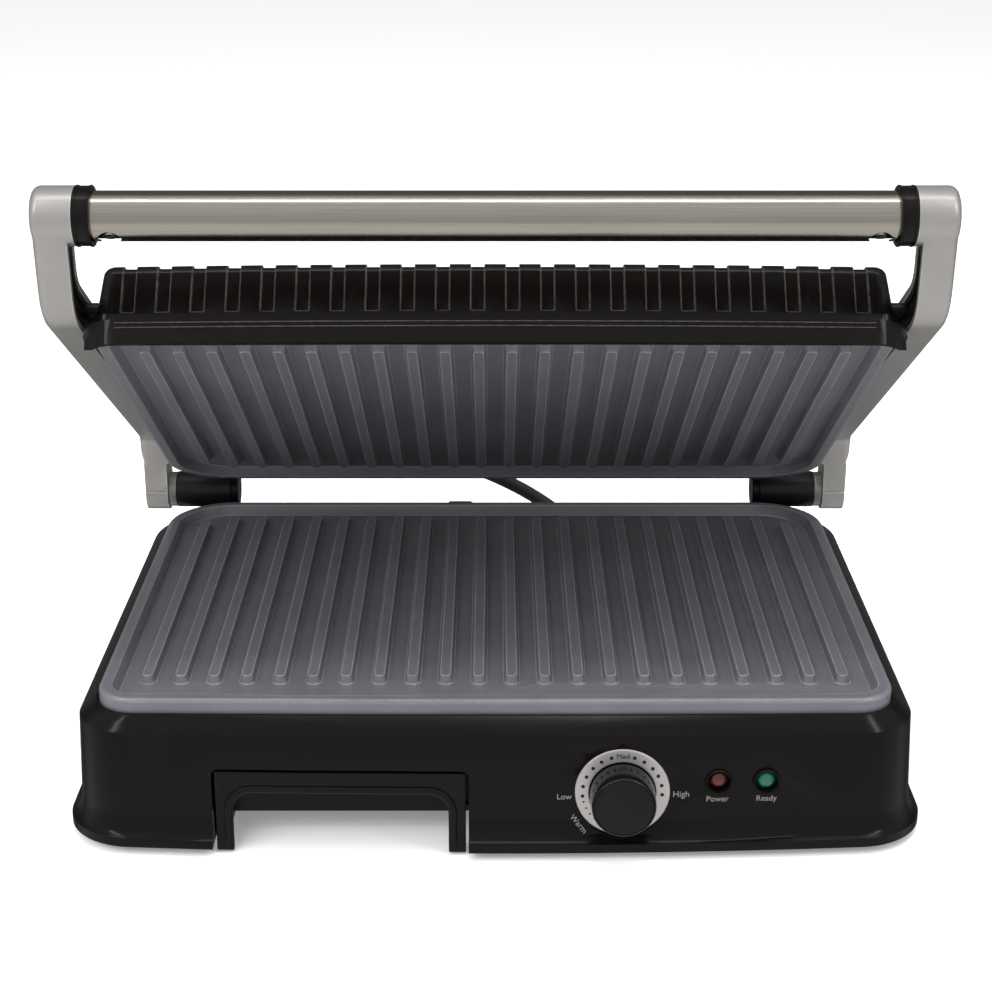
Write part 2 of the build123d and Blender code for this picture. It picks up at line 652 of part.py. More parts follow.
with BuildPart() as arm_right:
    with BuildSketch(Plane.YZ.offset(arm_inner)):
        arm_profile(0)
    extrude(amount=arm_outer - arm_inner)
    block(0, 2 * plate_width, arm_bar_end, 2 * plate_width, 0, 2 * plate_width, Mode.SUBTRACT)
    with BuildSketch(Plane.YZ.offset(arm_inner)):
        arm_profile(arm_shell)
        with Locations((arm_bar_end + plate_width / 2 - arm_shell, 0)):
            Rectangle(plate_width, 2 * plate_width, mode=Mode.SUBTRACT)
    extrude(amount=arm_outer - arm_shell - arm_inner, mode=Mode.SUBTRACT)
    with BuildSketch(Plane.YZ.offset(lug_inner)):
        arm_profile(0)
        with Locations((arm_bar_end - plate_width / 2, 0)):
            Rectangle(plate_width, 2 * plate_width, mode=Mode.SUBTRACT)
        with Locations((hinge_y, hinge_z)):
            Circle(lug_radius)
    extrude(amount=lug_outer - lug_inner)
    round_bar(hinge_y, hinge_z, hinge_pin_radius + fixed_fit, lug_inner, lug_outer - arm_shell, Mode.SUBTRACT)
    round_bar(pivot_y, pivot_z, pivot_radius + 2, arm_inner + 2.5, arm_outer - arm_shell)
    round_bar(pivot_y, pivot_z, pivot_radius + fixed_fit, arm_inner, arm_outer - arm_shell, Mode.SUBTRACT)
    round_bar(handle_y, handle_z, arm_head_radius, arm_inner - arm_head_step, arm_inner)
    round_bar(handle_y, handle_z, handle_core_radius + 0.1, arm_inner - arm_head_step, arm_inner, Mode.SUBTRACT)
arm_right.part.label = "arm_right"
export_step(raised(arm_right.part), "parts/arm_right.step")

with BuildPart() as arm_left:
    mirror(arm_right.part, about=Plane.YZ)
arm_left.part.label = "arm_left"
export_step(raised(arm_left.part), "parts/arm_left.step")

cover_inner = arm_inner + arm_cover_recess

with BuildPart() as arm_cover_right:
    with BuildSketch(Plane.YZ.offset(cover_inner)):
        arm_profile(arm_shell + arm_cover_fit)
        with Locations((arm_bar_end + plate_width / 2 - arm_shell - arm_cover_fit, 0)):
            Rectangle(plate_width, 2 * plate_width, mode=Mode.SUBTRACT)
    extrude(amount=arm_cover_thickness)
    with BuildSketch(Plane.YZ.offset(cover_inner)):
        arm_profile(arm_shell + 2.4)
        for far_end in (handle_y + 7 - plate_width / 2, arm_bar_end + plate_width / 2 - 6):
            with Locations((far_end, 0)):
                Rectangle(plate_width, 2 * plate_width, mode=Mode.SUBTRACT)
    extrude(amount=0.8, mode=Mode.SUBTRACT)
    round_bar(handle_y, handle_z, handle_core_radius + 0.1, arm_inner, arm_outer, Mode.SUBTRACT)
    round_bar(pivot_y, pivot_z, pivot_radius + 0.6, arm_inner, arm_outer, Mode.SUBTRACT)
arm_cover_right.part.label = "arm_cover_right"
export_step(raised(arm_cover_right.part), "parts/arm_cover_right.step")

with BuildPart() as arm_cover_left:
    mirror(arm_cover_right.part, about=Plane.YZ)
arm_cover_left.part.label = "arm_cover_left"
export_step(raised(arm_cover_left.part), "parts/arm_cover_left.step")

# ---- handle --------------------------------------------------------------------------------------
sleeve_end = arm_inner - 3.0
screw_x = arm_inner - handle_screw_inset
screw_lean = 32.0          # handle screws lean forward of straight down at rest
sleeve_edge_lean = 12.0    # the sleeve's lower edge, likewise
sleeve_gap = 50.0          # the sleeve is open over this arc, from its lower edge backwards
screw_head_radius = 3.2
screw_head_height = 1.8
screw_angle = radians(rest_opening - 90 - screw_lean)


def screw_plane(x, distance):
    """Plane square to a handle screw, `distance` from the handle's axis."""
    out = Vector(0, cos(screw_angle), sin(screw_angle))
    return Plane(origin=Vector(x, handle_y, handle_z) + out * distance, z_dir=out)


def screw_bar(radius, low, high, mode=Mode.ADD):
    """Both handle screws' cylinders, from `low` to `high` out of the handle's axis."""
    for x in (-screw_x, screw_x):
        with BuildSketch(screw_plane(x, low)) as disc:
            Circle(radius)
        extrude(disc.sketch, amount=high - low, mode=mode)


head_seat = handle_core_radius - screw_head_height - 0.2

with BuildPart() as handle_core:
    round_bar(handle_y, handle_z, handle_core_radius, 5 - arm_outer, arm_outer - 5)
    screw_bar(screw_head_radius + 0.2, head_seat, 2 * handle_radius, Mode.SUBTRACT)
    screw_bar(1.5, 1.0, head_seat, Mode.SUBTRACT)
handle_core.part.label = "handle_core"
export_step(raised(handle_core.part), "parts/handle_core.step")

with BuildPart() as handle_screws:
    screw_bar(screw_head_radius, head_seat, head_seat + screw_head_height)
    screw_bar(1.5 - fixed_fit, 1.4, head_seat)
    screw_bar(1.3, head_seat + 0.9, head_seat + 2, Mode.SUBTRACT)
handle_screws.part.label = "handle_screws"
export_step(raised(handle_screws.part), "parts/handle_screws.step")

with BuildPart() as handle_sleeve:
    round_bar(handle_y, handle_z, handle_radius, -sleeve_end, sleeve_end)
    round_bar(handle_y, handle_z, handle_radius - handle_sleeve_wall, -sleeve_end, sleeve_end, Mode.SUBTRACT)
    with BuildSketch(Plane.YZ.offset(-sleeve_end)):
        edge_angle = rest_opening - 90 - sleeve_edge_lean
        with BuildLine():
            Polyline(
                (handle_y, handle_z),
                *[(handle_y + 3 * handle_radius * cos(radians(edge_angle + turn)),
                   handle_z + 3 * handle_radius * sin(radians(edge_angle + turn)))
                  for turn in (0, sleeve_gap / 2, sleeve_gap)],
                close=True,
            )
        make_face()
    extrude(amount=2 * sleeve_end, mode=Mode.SUBTRACT)
    screw_bar(screw_head_radius + 1.4, 2, 2 * handle_radius, Mode.SUBTRACT)
handle_sleeve.part.label = "handle_sleeve"
export_step(raised(handle_sleeve.part), "parts/handle_sleeve.step")

# ---- rear hinge ----------------------------------------------------------------------------------
def add_hinge_bracket():
    """Right-hand hinge bracket: a barrel on a foot that is screwed down to the deck."""
    round_bar(hinge_y, hinge_z, barrel_radius, barrel_inner, barrel_outer)
    block(barrel_inner, hinge_foot_outer, hinge_y - hinge_foot_half, hinge_y + hinge_foot_half,
          shoulder_z, hinge_z)
    round_bar(hinge_y, hinge_z, hinge_pin_radius + hinge_fit, barrel_inner, barrel_outer, Mode.SUBTRACT)
    right_places = [place for place in hinge_screw_places if place[0] > 0]
    post(right_places, hinge_screw_radius + fixed_fit, shoulder_z, shoulder_z + hinge_screw_reach,
         Mode.SUBTRACT)


def add_hinge_cap():
    """Blind cap on the inner end of the barrel."""
    round_bar(hinge_y, hinge_z, barrel_radius - 0.2, barrel_inner - barrel_cap, barrel_inner)


def add_hinge_pin():
    """Pin that is fast in the arm's lug and turns in the barrel."""
    round_bar(hinge_y, hinge_z, hinge_pin_radius, barrel_inner + 1, lug_outer - arm_shell - 0.2)


def add_hinge_washer():
    """Spacing washer on the pin between barrel and lug."""
    round_bar(hinge_y, hinge_z, barrel_radius - 0.3, barrel_outer + 0.25, lug_inner)
    round_bar(hinge_y, hinge_z, hinge_pin_radius + fixed_fit, barrel_outer, lug_inner, Mode.SUBTRACT)


def add_collar():
    """Ring that hides the sleeve's end beside the arm."""
    round_bar(handle_y, handle_z, collar_radius, arm_inner - collar_width, arm_inner - arm_head_step - 0.2)
    round_bar(handle_y, handle_z, handle_radius + 0.1, arm_inner - collar_width - 1, arm_inner, Mode.SUBTRACT)


def add_pivot_pin():
    """Pin that is fast in the arm's boss and carries the lid."""
    round_bar(pivot_y, pivot_z, pivot_radius, bush_inner + 0.5, arm_outer - arm_shell - 0.2)


def add_pivot_bush():
    """Bush inside the lid that turns on the pivot pin, on a foot on the plate's boss."""
    round_bar(pivot_y, pivot_z, pivot_radius + 2.4, bush_inner, bush_outer)
    block(bush_inner, plate_width / 2 - boss_inset - 0.1, pivot_y - 5, pivot_y + 5, upper_boss, pivot_z)
    round_bar(pivot_y, pivot_z, pivot_radius + pivot_fit, bush_inner, bush_outer, Mode.SUBTRACT)


bush_outer = plate_width / 2 - 7.2
bush_inner = bush_outer - 5.3

# Each of these comes as a right-hand piece and its mirror image.
handed_pieces = (
    ("hinge_bracket", add_hinge_bracket, at_rest),
    ("hinge_cap", add_hinge_cap, at_rest),
    ("hinge_pin", add_hinge_pin, raised),
    ("hinge_washer", add_hinge_washer, raised),
    ("handle_collar", add_collar, raised),
    ("pivot_pin", add_pivot_pin, raised),
    ("pivot_bush", add_pivot_bush, raised),
)
for name, add_piece, placed in handed_pieces:
    with BuildPart() as right_piece:
        add_piece()
    right_piece.part.label = name + "_right"
    export_step(placed(right_piece.part), f"parts/{name}_right.step")

    with BuildPart() as left_piece:
        mirror(right_piece.part, about=Plane.YZ)
    left_piece.part.label = name + "_left"
    export_step(placed(left_piece.part), f"parts/{name}_left.step")

with BuildPart() as hinge_screws:
    post(hinge_screw_places, 2.6, shoulder_z - wall - 1.6, shoulder_z - wall)
    post(hinge_screw_places, hinge_screw_radius, shoulder_z - wall, shoulder_z + hinge_screw_reach - 0.4)
hinge_screws.part.label = "hinge_screws"
export_step(at_rest(hinge_screws.part), "parts/hinge_screws.step")

# ---- heaters, the same behind both plates --------------------------------------------------------
element_x = plate_width / 2 - element_side
clip_half = 8.0


def behind(face, depth):
    """Plane `depth` behind a plate's heater boss, facing away from the plate."""
    back = face.offset(-skirt_depth - boss_depth - depth)
    return Plane(origin=back.origin, x_dir=face.x_dir, z_dir=-face.z_dir)


def bar_behind(face, places, radius, low, high, mode=Mode.ADD):
    """Cylinders that stand on a plate's back at `places`, from depth `low` to `high`."""
    with BuildSketch(behind(face, low)) as discs:
        with Locations(*[(x, -y) for x, y in places]):
            Circle(radius)
    extrude(discs.sketch, amount=high - low, mode=mode)


def slab_behind(face, width, depth, low, high, round_off, centre=(0, 0), mode=Mode.ADD):
    """Round-cornered slab on a plate's back, from depth `low` to `high`."""
    with BuildSketch(behind(face, low)) as outline:
        with Locations((centre[0], -centre[1])):
            RectangleRounded(width, depth, round_off)
    extrude(outline.sketch, amount=high - low, mode=mode)


element_front = plate_front + 22
element_back = plate_back - 40
element_path = (
    (-20, element_front), (-element_x, element_front), (-element_x, element_back),
    (element_x, element_back), (element_x, element_front), (20, element_front),
)
clip_places = [(x, y) for x in (-element_x, element_x) for y in (plate_front + 76, plate_back - 70)]
shield_depth = plate_depth - shield_inset - shield_front_gap
shield_middle = (shield_front_gap - shield_inset) / 2

for level, face, placed in (("lower", PLATE_UP, at_rest), ("upper", PLATE_DOWN, raised)):
    with BuildPart() as heating_element:
        with BuildLine(behind(face, element_gap + element_radius)) as route:
            FilletPolyline(*element_path, radius=element_bend)
        with BuildSketch(Plane(origin=route.line @ 0, z_dir=route.line % 0)):
            Circle(element_radius)
        sweep(path=route.line)
    heating_element.part.label = level + "_heating_element"
    export_step(placed(heating_element.part), f"parts/{level}_heating_element.step")

    with BuildPart() as element_clips:
        for place in clip_places:
            slab_behind(face, 2 * clip_half, 8, 0, 2 * element_radius + 1.4, 1, place)
            slab_behind(face, 2 * element_radius + 0.8, 9, 0, 2 * element_radius + 0.4, 0.5, place,
                        Mode.SUBTRACT)
    element_clips.part.label = level + "_element_clips"
    export_step(placed(element_clips.part), f"parts/{level}_element_clips.step")

    with BuildPart() as heat_shield:
        slab_behind(face, plate_width - 2 * shield_inset, shield_depth, shield_drop,
                    shield_drop + shield_thickness, 10, (0, shield_middle))
        bar_behind(face, standoff_places, plate_screw_radius + 0.2, shield_drop - 1, shield_drop + 5, Mode.SUBTRACT)
    heat_shield.part.label = level + "_heat_shield"
    export_step(placed(heat_shield.part), f"parts/{level}_heat_shield.step")

    with BuildPart() as shield_standoffs:
        bar_behind(face, standoff_places, standoff_radius, 0, shield_drop)
        bar_behind(face, standoff_places, plate_screw_radius + 0.2, -1, shield_drop + 1, Mode.SUBTRACT)
    shield_standoffs.part.label = level + "_shield_standoffs"
    export_step(placed(shield_standoffs.part), f"parts/{level}_shield_standoffs.step")

    with BuildPart() as plate_screws:
        bar_behind(face, standoff_places, standoff_radius, shield_drop + shield_thickness,
                   shield_drop + shield_thickness + 1.8)
        bar_behind(face, standoff_places, plate_screw_radius, -2.4, shield_drop + shield_thickness)
    plate_screws.part.label = level + "_plate_screws"
    export_step(placed(plate_screws.part), f"parts/{level}_plate_screws.step")

    with BuildPart() as thermal_fuse:
        slab_behind(face, 16, 7, 0, 4.5, 2, (0, 20))
    thermal_fuse.part.label = level + "_thermal_fuse"
    export_step(placed(thermal_fuse.part), f"parts/{level}_thermal_fuse.step")

# ---- wiring: terminal block, bushing, glands, link lead, rear stop -------------------------------
terminal_x = base_half - 44
terminal_y = 48.0

with BuildPart() as terminal_block:
    block(terminal_x - 14, terminal_x + 14, terminal_y - 8, terminal_y + 8, cover_top, cover_top + 12)
    post([(terminal_x + 8 * number, terminal_y) for number in (-1, 0, 1)], 2.4, cover_top + 8, cover_top + 13,
         Mode.SUBTRACT)
terminal_block.part.label = "terminal_block"
export_step(at_rest(terminal_block.part), "parts/terminal_block.step")

bushing_front = base_back - wall - 4

with BuildPart() as cord_bushing:
    front_bar(cord_bushing_x, cord_bushing_z, cord_bushing_radius - 0.1, base_back + 4, bushing_front)
    front_bar(cord_bushing_x, cord_bushing_z, cord_bushing_radius + 2, base_back + 4, base_back + 1.6)
    front_bar(cord_bushing_x, cord_bushing_z, bushing_bore, base_back + 5, bushing_front - 1, Mode.SUBTRACT)
cord_bushing.part.label = "cord_bushing"
export_step(at_rest(cord_bushing.part), "parts/cord_bushing.step")

with BuildPart() as link_gland_base:
    front_bar(lead_gland_x, lead_gland_z, gland_radius - 0.1, base_back + gland_length, base_back - wall - 2)
link_gland_base.part.label = "link_gland_base"
export_step(at_rest(link_gland_base.part), "parts/link_gland_base.step")

lid_gland_mouth = plate_back + gland_length - 2

with BuildPart() as link_gland_lid:
    front_bar(lid_gland_x, lid_gland_z, gland_radius - 0.1, lid_gland_mouth, plate_back - wall - 3)
link_gland_lid.part.label = "link_gland_lid"
export_step(raised(link_gland_lid.part), "parts/link_gland_lid.step")

# The lead is drawn as it hangs with the lid at rest, from the lid's gland to the base's.
opening = radians(rest_opening)
mouth_y = lid_gland_mouth - hinge_y
mouth_z = lid_gland_z - hinge_z
lead_start = (
    lid_gland_x,
    hinge_y + mouth_y * cos(opening) + mouth_z * sin(opening),
    hinge_z - mouth_y * sin(opening) + mouth_z * cos(opening),
)
lead_end = (lead_gland_x, base_back + gland_length, lead_gland_z)
lead_points = (
    lead_start,
    (lead_start[0], lead_start[1] + 15 * cos(opening), lead_start[2] - 15 * sin(opening)),
    (-15, hinge_y + 33, hinge_z + 1.2),
    (0, hinge_y + 42, hinge_z - 7.8),
    (17, hinge_y + 45, hinge_z - 17.8),
    (32, hinge_y + 40, lead_gland_z + 5),
    (lead_end[0], lead_end[1] + 11, lead_end[2]),
    lead_end,
)


def lead_radii(points):
    """The largest arcs that the runs beside each corner allow."""
    radii = []
    for before, corner, after in zip(points, points[1:], points[2:]):
        first = Vector(*corner) - Vector(*before)
        second = Vector(*after) - Vector(*corner)
        half_turn = radians(first.get_angle(second) / 2)
        radii.append(0.45 * min(first.length, second.length) * cos(half_turn) / sin(half_turn))
    return radii


with BuildPart() as link_lead:
    with BuildLine() as lead_route:
        FilletPolyline(*lead_points, radius=lead_radii(lead_points))
    with BuildSketch(Plane(origin=lead_route.line @ 0, z_dir=lead_route.line % 0)):
        Circle(lead_radius)
    sweep(path=lead_route.line)
link_lead.part.label = "link_lead"
export_step(at_rest(link_lead.part), "parts/link_lead.step")

stop_x = -16.5
stop_half_width = 5.5
stop_drop = 1.4            # plate rim to the stop's top

with BuildPart() as rear_stop:
    block(stop_x - stop_half_width, stop_x + stop_half_width, plate_back + bezel_land - 0.4, plate_back + 5,
          plate_top - bezel_show, plate_top - stop_drop)
rear_stop.part.label = "rear_stop"
export_step(at_rest(rear_stop.part), "parts/rear_stop.step")
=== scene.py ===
from math import cos, radians, sin, tau

import bmesh
import bpy
from mathutils import Matrix, Vector
from mathutils.bvhtree import BVHTree


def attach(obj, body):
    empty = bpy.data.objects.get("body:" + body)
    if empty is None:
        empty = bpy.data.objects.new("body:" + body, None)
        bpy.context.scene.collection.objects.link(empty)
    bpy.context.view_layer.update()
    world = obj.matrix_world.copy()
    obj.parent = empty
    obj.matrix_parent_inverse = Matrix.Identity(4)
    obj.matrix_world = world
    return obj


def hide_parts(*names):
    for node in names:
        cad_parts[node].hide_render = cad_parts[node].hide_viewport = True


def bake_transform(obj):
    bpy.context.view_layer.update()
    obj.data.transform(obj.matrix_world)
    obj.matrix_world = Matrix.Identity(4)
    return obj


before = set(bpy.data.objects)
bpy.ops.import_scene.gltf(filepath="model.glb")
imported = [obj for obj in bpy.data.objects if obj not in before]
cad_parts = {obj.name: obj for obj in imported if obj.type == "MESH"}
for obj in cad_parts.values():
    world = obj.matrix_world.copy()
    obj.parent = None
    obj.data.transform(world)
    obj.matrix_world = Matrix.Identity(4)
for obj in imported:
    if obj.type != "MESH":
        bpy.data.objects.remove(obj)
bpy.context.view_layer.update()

# ---- Studio --------------------------------------------------------------------------------------
# A white sweep of paper under an even, bright room.  Gloss parts see a darker room than the eye
# does, as they do between the black flags of a product table, with soft boxes above and beside.
MM = 0.001
scene = bpy.context.scene
scene.view_settings.view_transform = "Standard"

paper_shape = bmesh.new()
bmesh.ops.create_grid(paper_shape, x_segments=1, y_segments=1, size=4.0)
paper_mesh = bpy.data.meshes.new("paper")
paper_shape.to_mesh(paper_mesh)
paper_shape.free()
paper = bpy.data.objects.new("paper", paper_mesh)
paper.visible_glossy = False
scene.collection.objects.link(paper)
paper_finish = bpy.data.materials.new("white_paper")
paper_finish.use_nodes = True
paper_nodes = paper_finish.node_tree.nodes
paper_nodes["Principled BSDF"].inputs["Roughness"].default_value = 0.9
paper_nodes["Principled BSDF"].inputs["Specular IOR Level"].default_value = 0.1
paper_nodes["Principled BSDF"].inputs["Emission Color"].default_value = (1, 1, 1, 1)
paper_nodes["Principled BSDF"].inputs["Emission Strength"].default_value = 0.22
paper_grain = paper_nodes.new("ShaderNodeTexNoise")
paper_grain.inputs["Scale"].default_value = 90.0
paper_tint = paper_nodes.new("ShaderNodeMix")
paper_tint.data_type = "RGBA"
paper_tint.inputs["A"].default_value = (0.93, 0.93, 0.93, 1)
paper_tint.inputs["B"].default_value = (0.96, 0.96, 0.96, 1)
paper_finish.node_tree.links.new(paper_grain.outputs["Fac"], paper_tint.inputs["Factor"])
paper_finish.node_tree.links.new(paper_tint.outputs["Result"], paper_nodes["Principled BSDF"].inputs["Base Color"])
paper_mesh.materials.append(paper_finish)

room = bpy.data.worlds.new("room")
room.use_nodes = True
scene.world = room
room_nodes, room_links = room.node_tree.nodes, room.node_tree.links
room_light = room_nodes["Background"]
sight = room_nodes.new("ShaderNodeLightPath")
direction = room_nodes.new("ShaderNodeTexCoord")
height = room_nodes.new("ShaderNodeSeparateXYZ")
room_links.new(direction.outputs["Generated"], height.inputs["Vector"])
flags = room_nodes.new("ShaderNodeValToRGB")
flags.color_ramp.elements[0].position = 0.0
flags.color_ramp.elements[0].color = (0.72, 0.72, 0.72, 1)
flags.color_ramp.elements[1].position = 1.0
flags.color_ramp.elements[1].color = (0.85, 0.85, 0.85, 1)
for place, grey in ((0.12, 0.78), (0.30, 0.72), (0.34, 0.50), (0.50, 0.52), (0.80, 0.62), (0.955, 0.66),
                    (0.97, 0.40), (0.985, 0.85)):
    flags.color_ramp.elements.new(place).color = (grey, grey, grey, 1)
half_height = room_nodes.new("ShaderNodeMath")
half_height.operation = "MULTIPLY_ADD"
half_height.inputs[1].default_value = 0.5
half_height.inputs[2].default_value = 0.5
room_links.new(height.outputs["Z"], half_height.inputs[0])
room_links.new(half_height.outputs[0], flags.inputs["Fac"])
behind = room_nodes.new("ShaderNodeMapRange")
behind.inputs["From Min"].default_value, behind.inputs["From Max"].default_value = 0.15, 0.55
room_links.new(height.outputs["Y"], behind.inputs["Value"])
dark_back = room_nodes.new("ShaderNodeMix")
dark_back.data_type = "RGBA"
dark_back.inputs["B"].default_value = (0.10, 0.10, 0.10, 1)
room_links.new(behind.outputs["Result"], dark_back.inputs["Factor"])
room_links.new(flags.outputs["Color"], dark_back.inputs["A"])
gloss_view = room_nodes.new("ShaderNodeMix")
gloss_view.data_type = "RGBA"
gloss_view.inputs["A"].default_value = (0.70, 0.70, 0.70, 1)
room_links.new(sight.outputs["Is Glossy Ray"], gloss_view.inputs["Factor"])
room_links.new(dark_back.outputs["Result"], gloss_view.inputs["B"])
eye_view = room_nodes.new("ShaderNodeMix")
eye_view.data_type = "RGBA"
eye_view.inputs["B"].default_value = (1, 1, 1, 1)
room_links.new(sight.outputs["Is Camera Ray"], eye_view.inputs["Factor"])
room_links.new(gloss_view.outputs["Result"], eye_view.inputs["A"])
room_links.new(eye_view.outputs["Result"], room_light.inputs["Color"])

aim = Vector((0, 0, 0.10))
soft_boxes = (
    ("top_box", (0.15, 0.05, 1.35), 1.2, 0.9, 15, False),
    ("front_box", (-0.55, -1.15, 1.0), 0.8, 0.6, 10, False),
    ("overhead_strip", (0.0, -0.20, 1.25), 1.7, 0.10, 3.2, True),
    ("left_strip", (-0.95, -0.75, 1.05), 0.10, 0.9, 3.4, True),
    ("right_strip", (0.95, -0.75, 1.05), 0.10, 0.9, 3.4, True),
)
for name, place, width, depth, watts, mirrored in soft_boxes:
    lamp = bpy.data.lights.new(name, "AREA")
    lamp.shape = "RECTANGLE"
    lamp.size, lamp.size_y, lamp.energy = width, depth, watts
    box = bpy.data.objects.new(name, lamp)
    box.location = place
    box.rotation_euler = (aim - Vector(place)).to_track_quat("-Z", "Y").to_euler()
    box.visible_glossy = mirrored
    scene.collection.objects.link(box)

eye = bpy.data.objects.new("eye", bpy.data.cameras.new("eye"))
eye.data.lens = 74.65
eye.data.shift_x = 0.0008
eye.location = (0, -0.82435, 0.3866)
eye.rotation_euler = (radians(70.5), 0, 0)
scene.collection.objects.link(eye)
scene.camera = eye

# ---- Grill plates --------------------------------------------------------------------------------
# Two die-cast aluminium plates with 22 ribs, a raised rim and a satin grey ceramic coating, whose
# fine speckle shows close to.  The lower one has a slot at the front through which fat drains.
FOOTPRINT_MIDDLE, REST_OPENING = 19.65, 33.0
table_shift = Matrix.Translation((0, -FOOTPRINT_MIDDLE * MM, 0))
hinge = Vector((0, 123, 61.8)) * MM
raised = (table_shift @ Matrix.Translation(hinge) @ Matrix.Rotation(radians(-REST_OPENING), 4, "X")
          @ Matrix.Translation(-hinge))


def surface_group(name, inputs, outputs):
    """An empty node group with named float inputs; outputs are (name, socket type)."""
    group = bpy.data.node_groups.new(name, "ShaderNodeTree")
    for label, value in inputs:
        socket = group.interface.new_socket(label, in_out="INPUT", socket_type="NodeSocketFloat")
        socket.default_value = value
    for label, kind in outputs:
        group.interface.new_socket(label, in_out="OUTPUT", socket_type=kind)
    return group, group.nodes.new("NodeGroupInput"), group.nodes.new("NodeGroupOutput")


# Cloudy patches and a fine speckle, each from 0 to 1, at sizes given per metre.
mottle, given, result = surface_group(
    "mottle",
    (("Patch Scale", 40.0), ("Speckle Scale", 2200.0)),
    (("Patches", "NodeSocketFloat"), ("Speckle", "NodeSocketFloat")),
)
coordinates = mottle.nodes.new("ShaderNodeTexCoord")
for label, detail in (("Patch", 4.0), ("Speckle", 2.0)):
    noise = mottle.nodes.new("ShaderNodeTexNoise")
    noise.inputs["Detail"].default_value = detail
    mottle.links.new(coordinates.outputs["Object"], noise.inputs["Vector"])
    mottle.links.new(given.outputs[label + " Scale"], noise.inputs["Scale"])
    mottle.links.new(noise.outputs["Fac"], result.inputs["Patches" if label == "Patch" else "Speckle"])

# Painted highlight, bright on rounded edges: how far the rounded normal leans away from the true one, broken up by
# noise.
painted_edge_highlight, given, result = surface_group(
    "painted_edge_highlight",
    (("Reach", 0.0008), ("Breakup", 500.0)),
    (("Edge", "NodeSocketFloat"),),
)
rounded = painted_edge_highlight.nodes.new("ShaderNodeBevel")
rounded.samples = 4
painted_edge_highlight.links.new(given.outputs["Reach"], rounded.inputs["Radius"])
true_normal = painted_edge_highlight.nodes.new("ShaderNodeNewGeometry")
lean = painted_edge_highlight.nodes.new("ShaderNodeVectorMath")
lean.operation = "DISTANCE"
painted_edge_highlight.links.new(rounded.outputs["Normal"], lean.inputs[0])
painted_edge_highlight.links.new(true_normal.outputs["Normal"], lean.inputs[1])
coordinates = painted_edge_highlight.nodes.new("ShaderNodeTexCoord")
breakup = painted_edge_highlight.nodes.new("ShaderNodeTexNoise")
painted_edge_highlight.links.new(coordinates.outputs["Object"], breakup.inputs["Vector"])
painted_edge_highlight.links.new(given.outputs["Breakup"], breakup.inputs["Scale"])
painted_highlight_amount = painted_edge_highlight.nodes.new("ShaderNodeMath")
painted_highlight_amount.operation = "MULTIPLY"
painted_highlight_amount.use_clamp = True
painted_edge_highlight.links.new(lean.outputs["Value"], painted_highlight_amount.inputs[0])
painted_edge_highlight.links.new(breakup.outputs["Fac"], painted_highlight_amount.inputs[1])
painted_edge_highlight.links.new(painted_highlight_amount.outputs[0], result.inputs["Edge"])

# Drawn lines along X, as a brushing belt leaves them.
brushing, given, result = surface_group("brushing", (("Fineness", 1500.0),), (("Lines", "NodeSocketFloat"),))
coordinates = brushing.nodes.new("ShaderNodeTexCoord")
stretch = brushing.nodes.new("ShaderNodeMapping")
stretch.inputs["Scale"].default_value = (0.012, 1.0, 1.0)
brushing.links.new(coordinates.outputs["Object"], stretch.inputs["Vector"])
noise = brushing.nodes.new("ShaderNodeTexNoise")
noise.inputs["Detail"].default_value = 3.0
brushing.links.new(stretch.outputs["Vector"], noise.inputs["Vector"])
brushing.links.new(given.outputs["Fineness"], noise.inputs["Scale"])
brushing.links.new(noise.outputs["Fac"], result.inputs["Lines"])


def finish(name, dark, light, rough=(0.3, 0.4), metallic=0.0, bump=0.0, patch=40.0, speckle=2200.0, edge=None,
           lines=None, coat=0.0, specular=0.5, transmission=0.0):
    """A moulded, cast or drawn surface: two tones mixed by its mottle, roughness by its speckle, and an optional
    edge colour painted on as a highlight along rounded edges.
    """
    material = bpy.data.materials.new(name)
    material.use_nodes = True
    nodes, links = material.node_tree.nodes, material.node_tree.links
    shader = nodes["Principled BSDF"]
    for socket, value in (("Metallic", metallic), ("Coat Weight", coat), ("Specular IOR Level", specular),
                          ("Transmission Weight", transmission)):
        shader.inputs[socket].default_value = value
    texture = nodes.new("ShaderNodeGroup")
    texture.node_tree = mottle
    texture.inputs["Patch Scale"].default_value = patch
    texture.inputs["Speckle Scale"].default_value = speckle
    tone = nodes.new("ShaderNodeMix")
    tone.data_type = "RGBA"
    tone.inputs["A"].default_value = (*dark, 1)
    tone.inputs["B"].default_value = (*light, 1)
    links.new(texture.outputs["Patches"], tone.inputs["Factor"])
    colour, relief = tone.outputs["Result"], texture.outputs["Speckle"]
    if lines:
        belt = nodes.new("ShaderNodeGroup")
        belt.node_tree = brushing
        belt.inputs["Fineness"].default_value = lines
        relief = belt.outputs["Lines"]
        links.new(relief, tone.inputs["Factor"])
    # Painted highlight: the edge colour is mixed in along rounded edges.
    if edge:
        painted_highlight = nodes.new("ShaderNodeGroup")
        painted_highlight.node_tree = painted_edge_highlight
        bright = nodes.new("ShaderNodeMix")
        bright.data_type = "RGBA"
        bright.inputs["B"].default_value = (*edge, 1)
        links.new(painted_highlight.outputs["Edge"], bright.inputs["Factor"])
        links.new(colour, bright.inputs["A"])
        colour = bright.outputs["Result"]
    links.new(colour, shader.inputs["Base Color"])
    gloss = nodes.new("ShaderNodeMapRange")
    gloss.inputs["To Min"].default_value, gloss.inputs["To Max"].default_value = rough
    links.new(relief, gloss.inputs["Value"])
    links.new(gloss.outputs["Result"], shader.inputs["Roughness"])
    if bump:
        grain = nodes.new("ShaderNodeBump")
        grain.inputs["Strength"].default_value = bump
        grain.inputs["Distance"].default_value = 0.0001
        links.new(relief, grain.inputs["Height"])
        links.new(grain.outputs["Normal"], shader.inputs["Normal"])
    return material


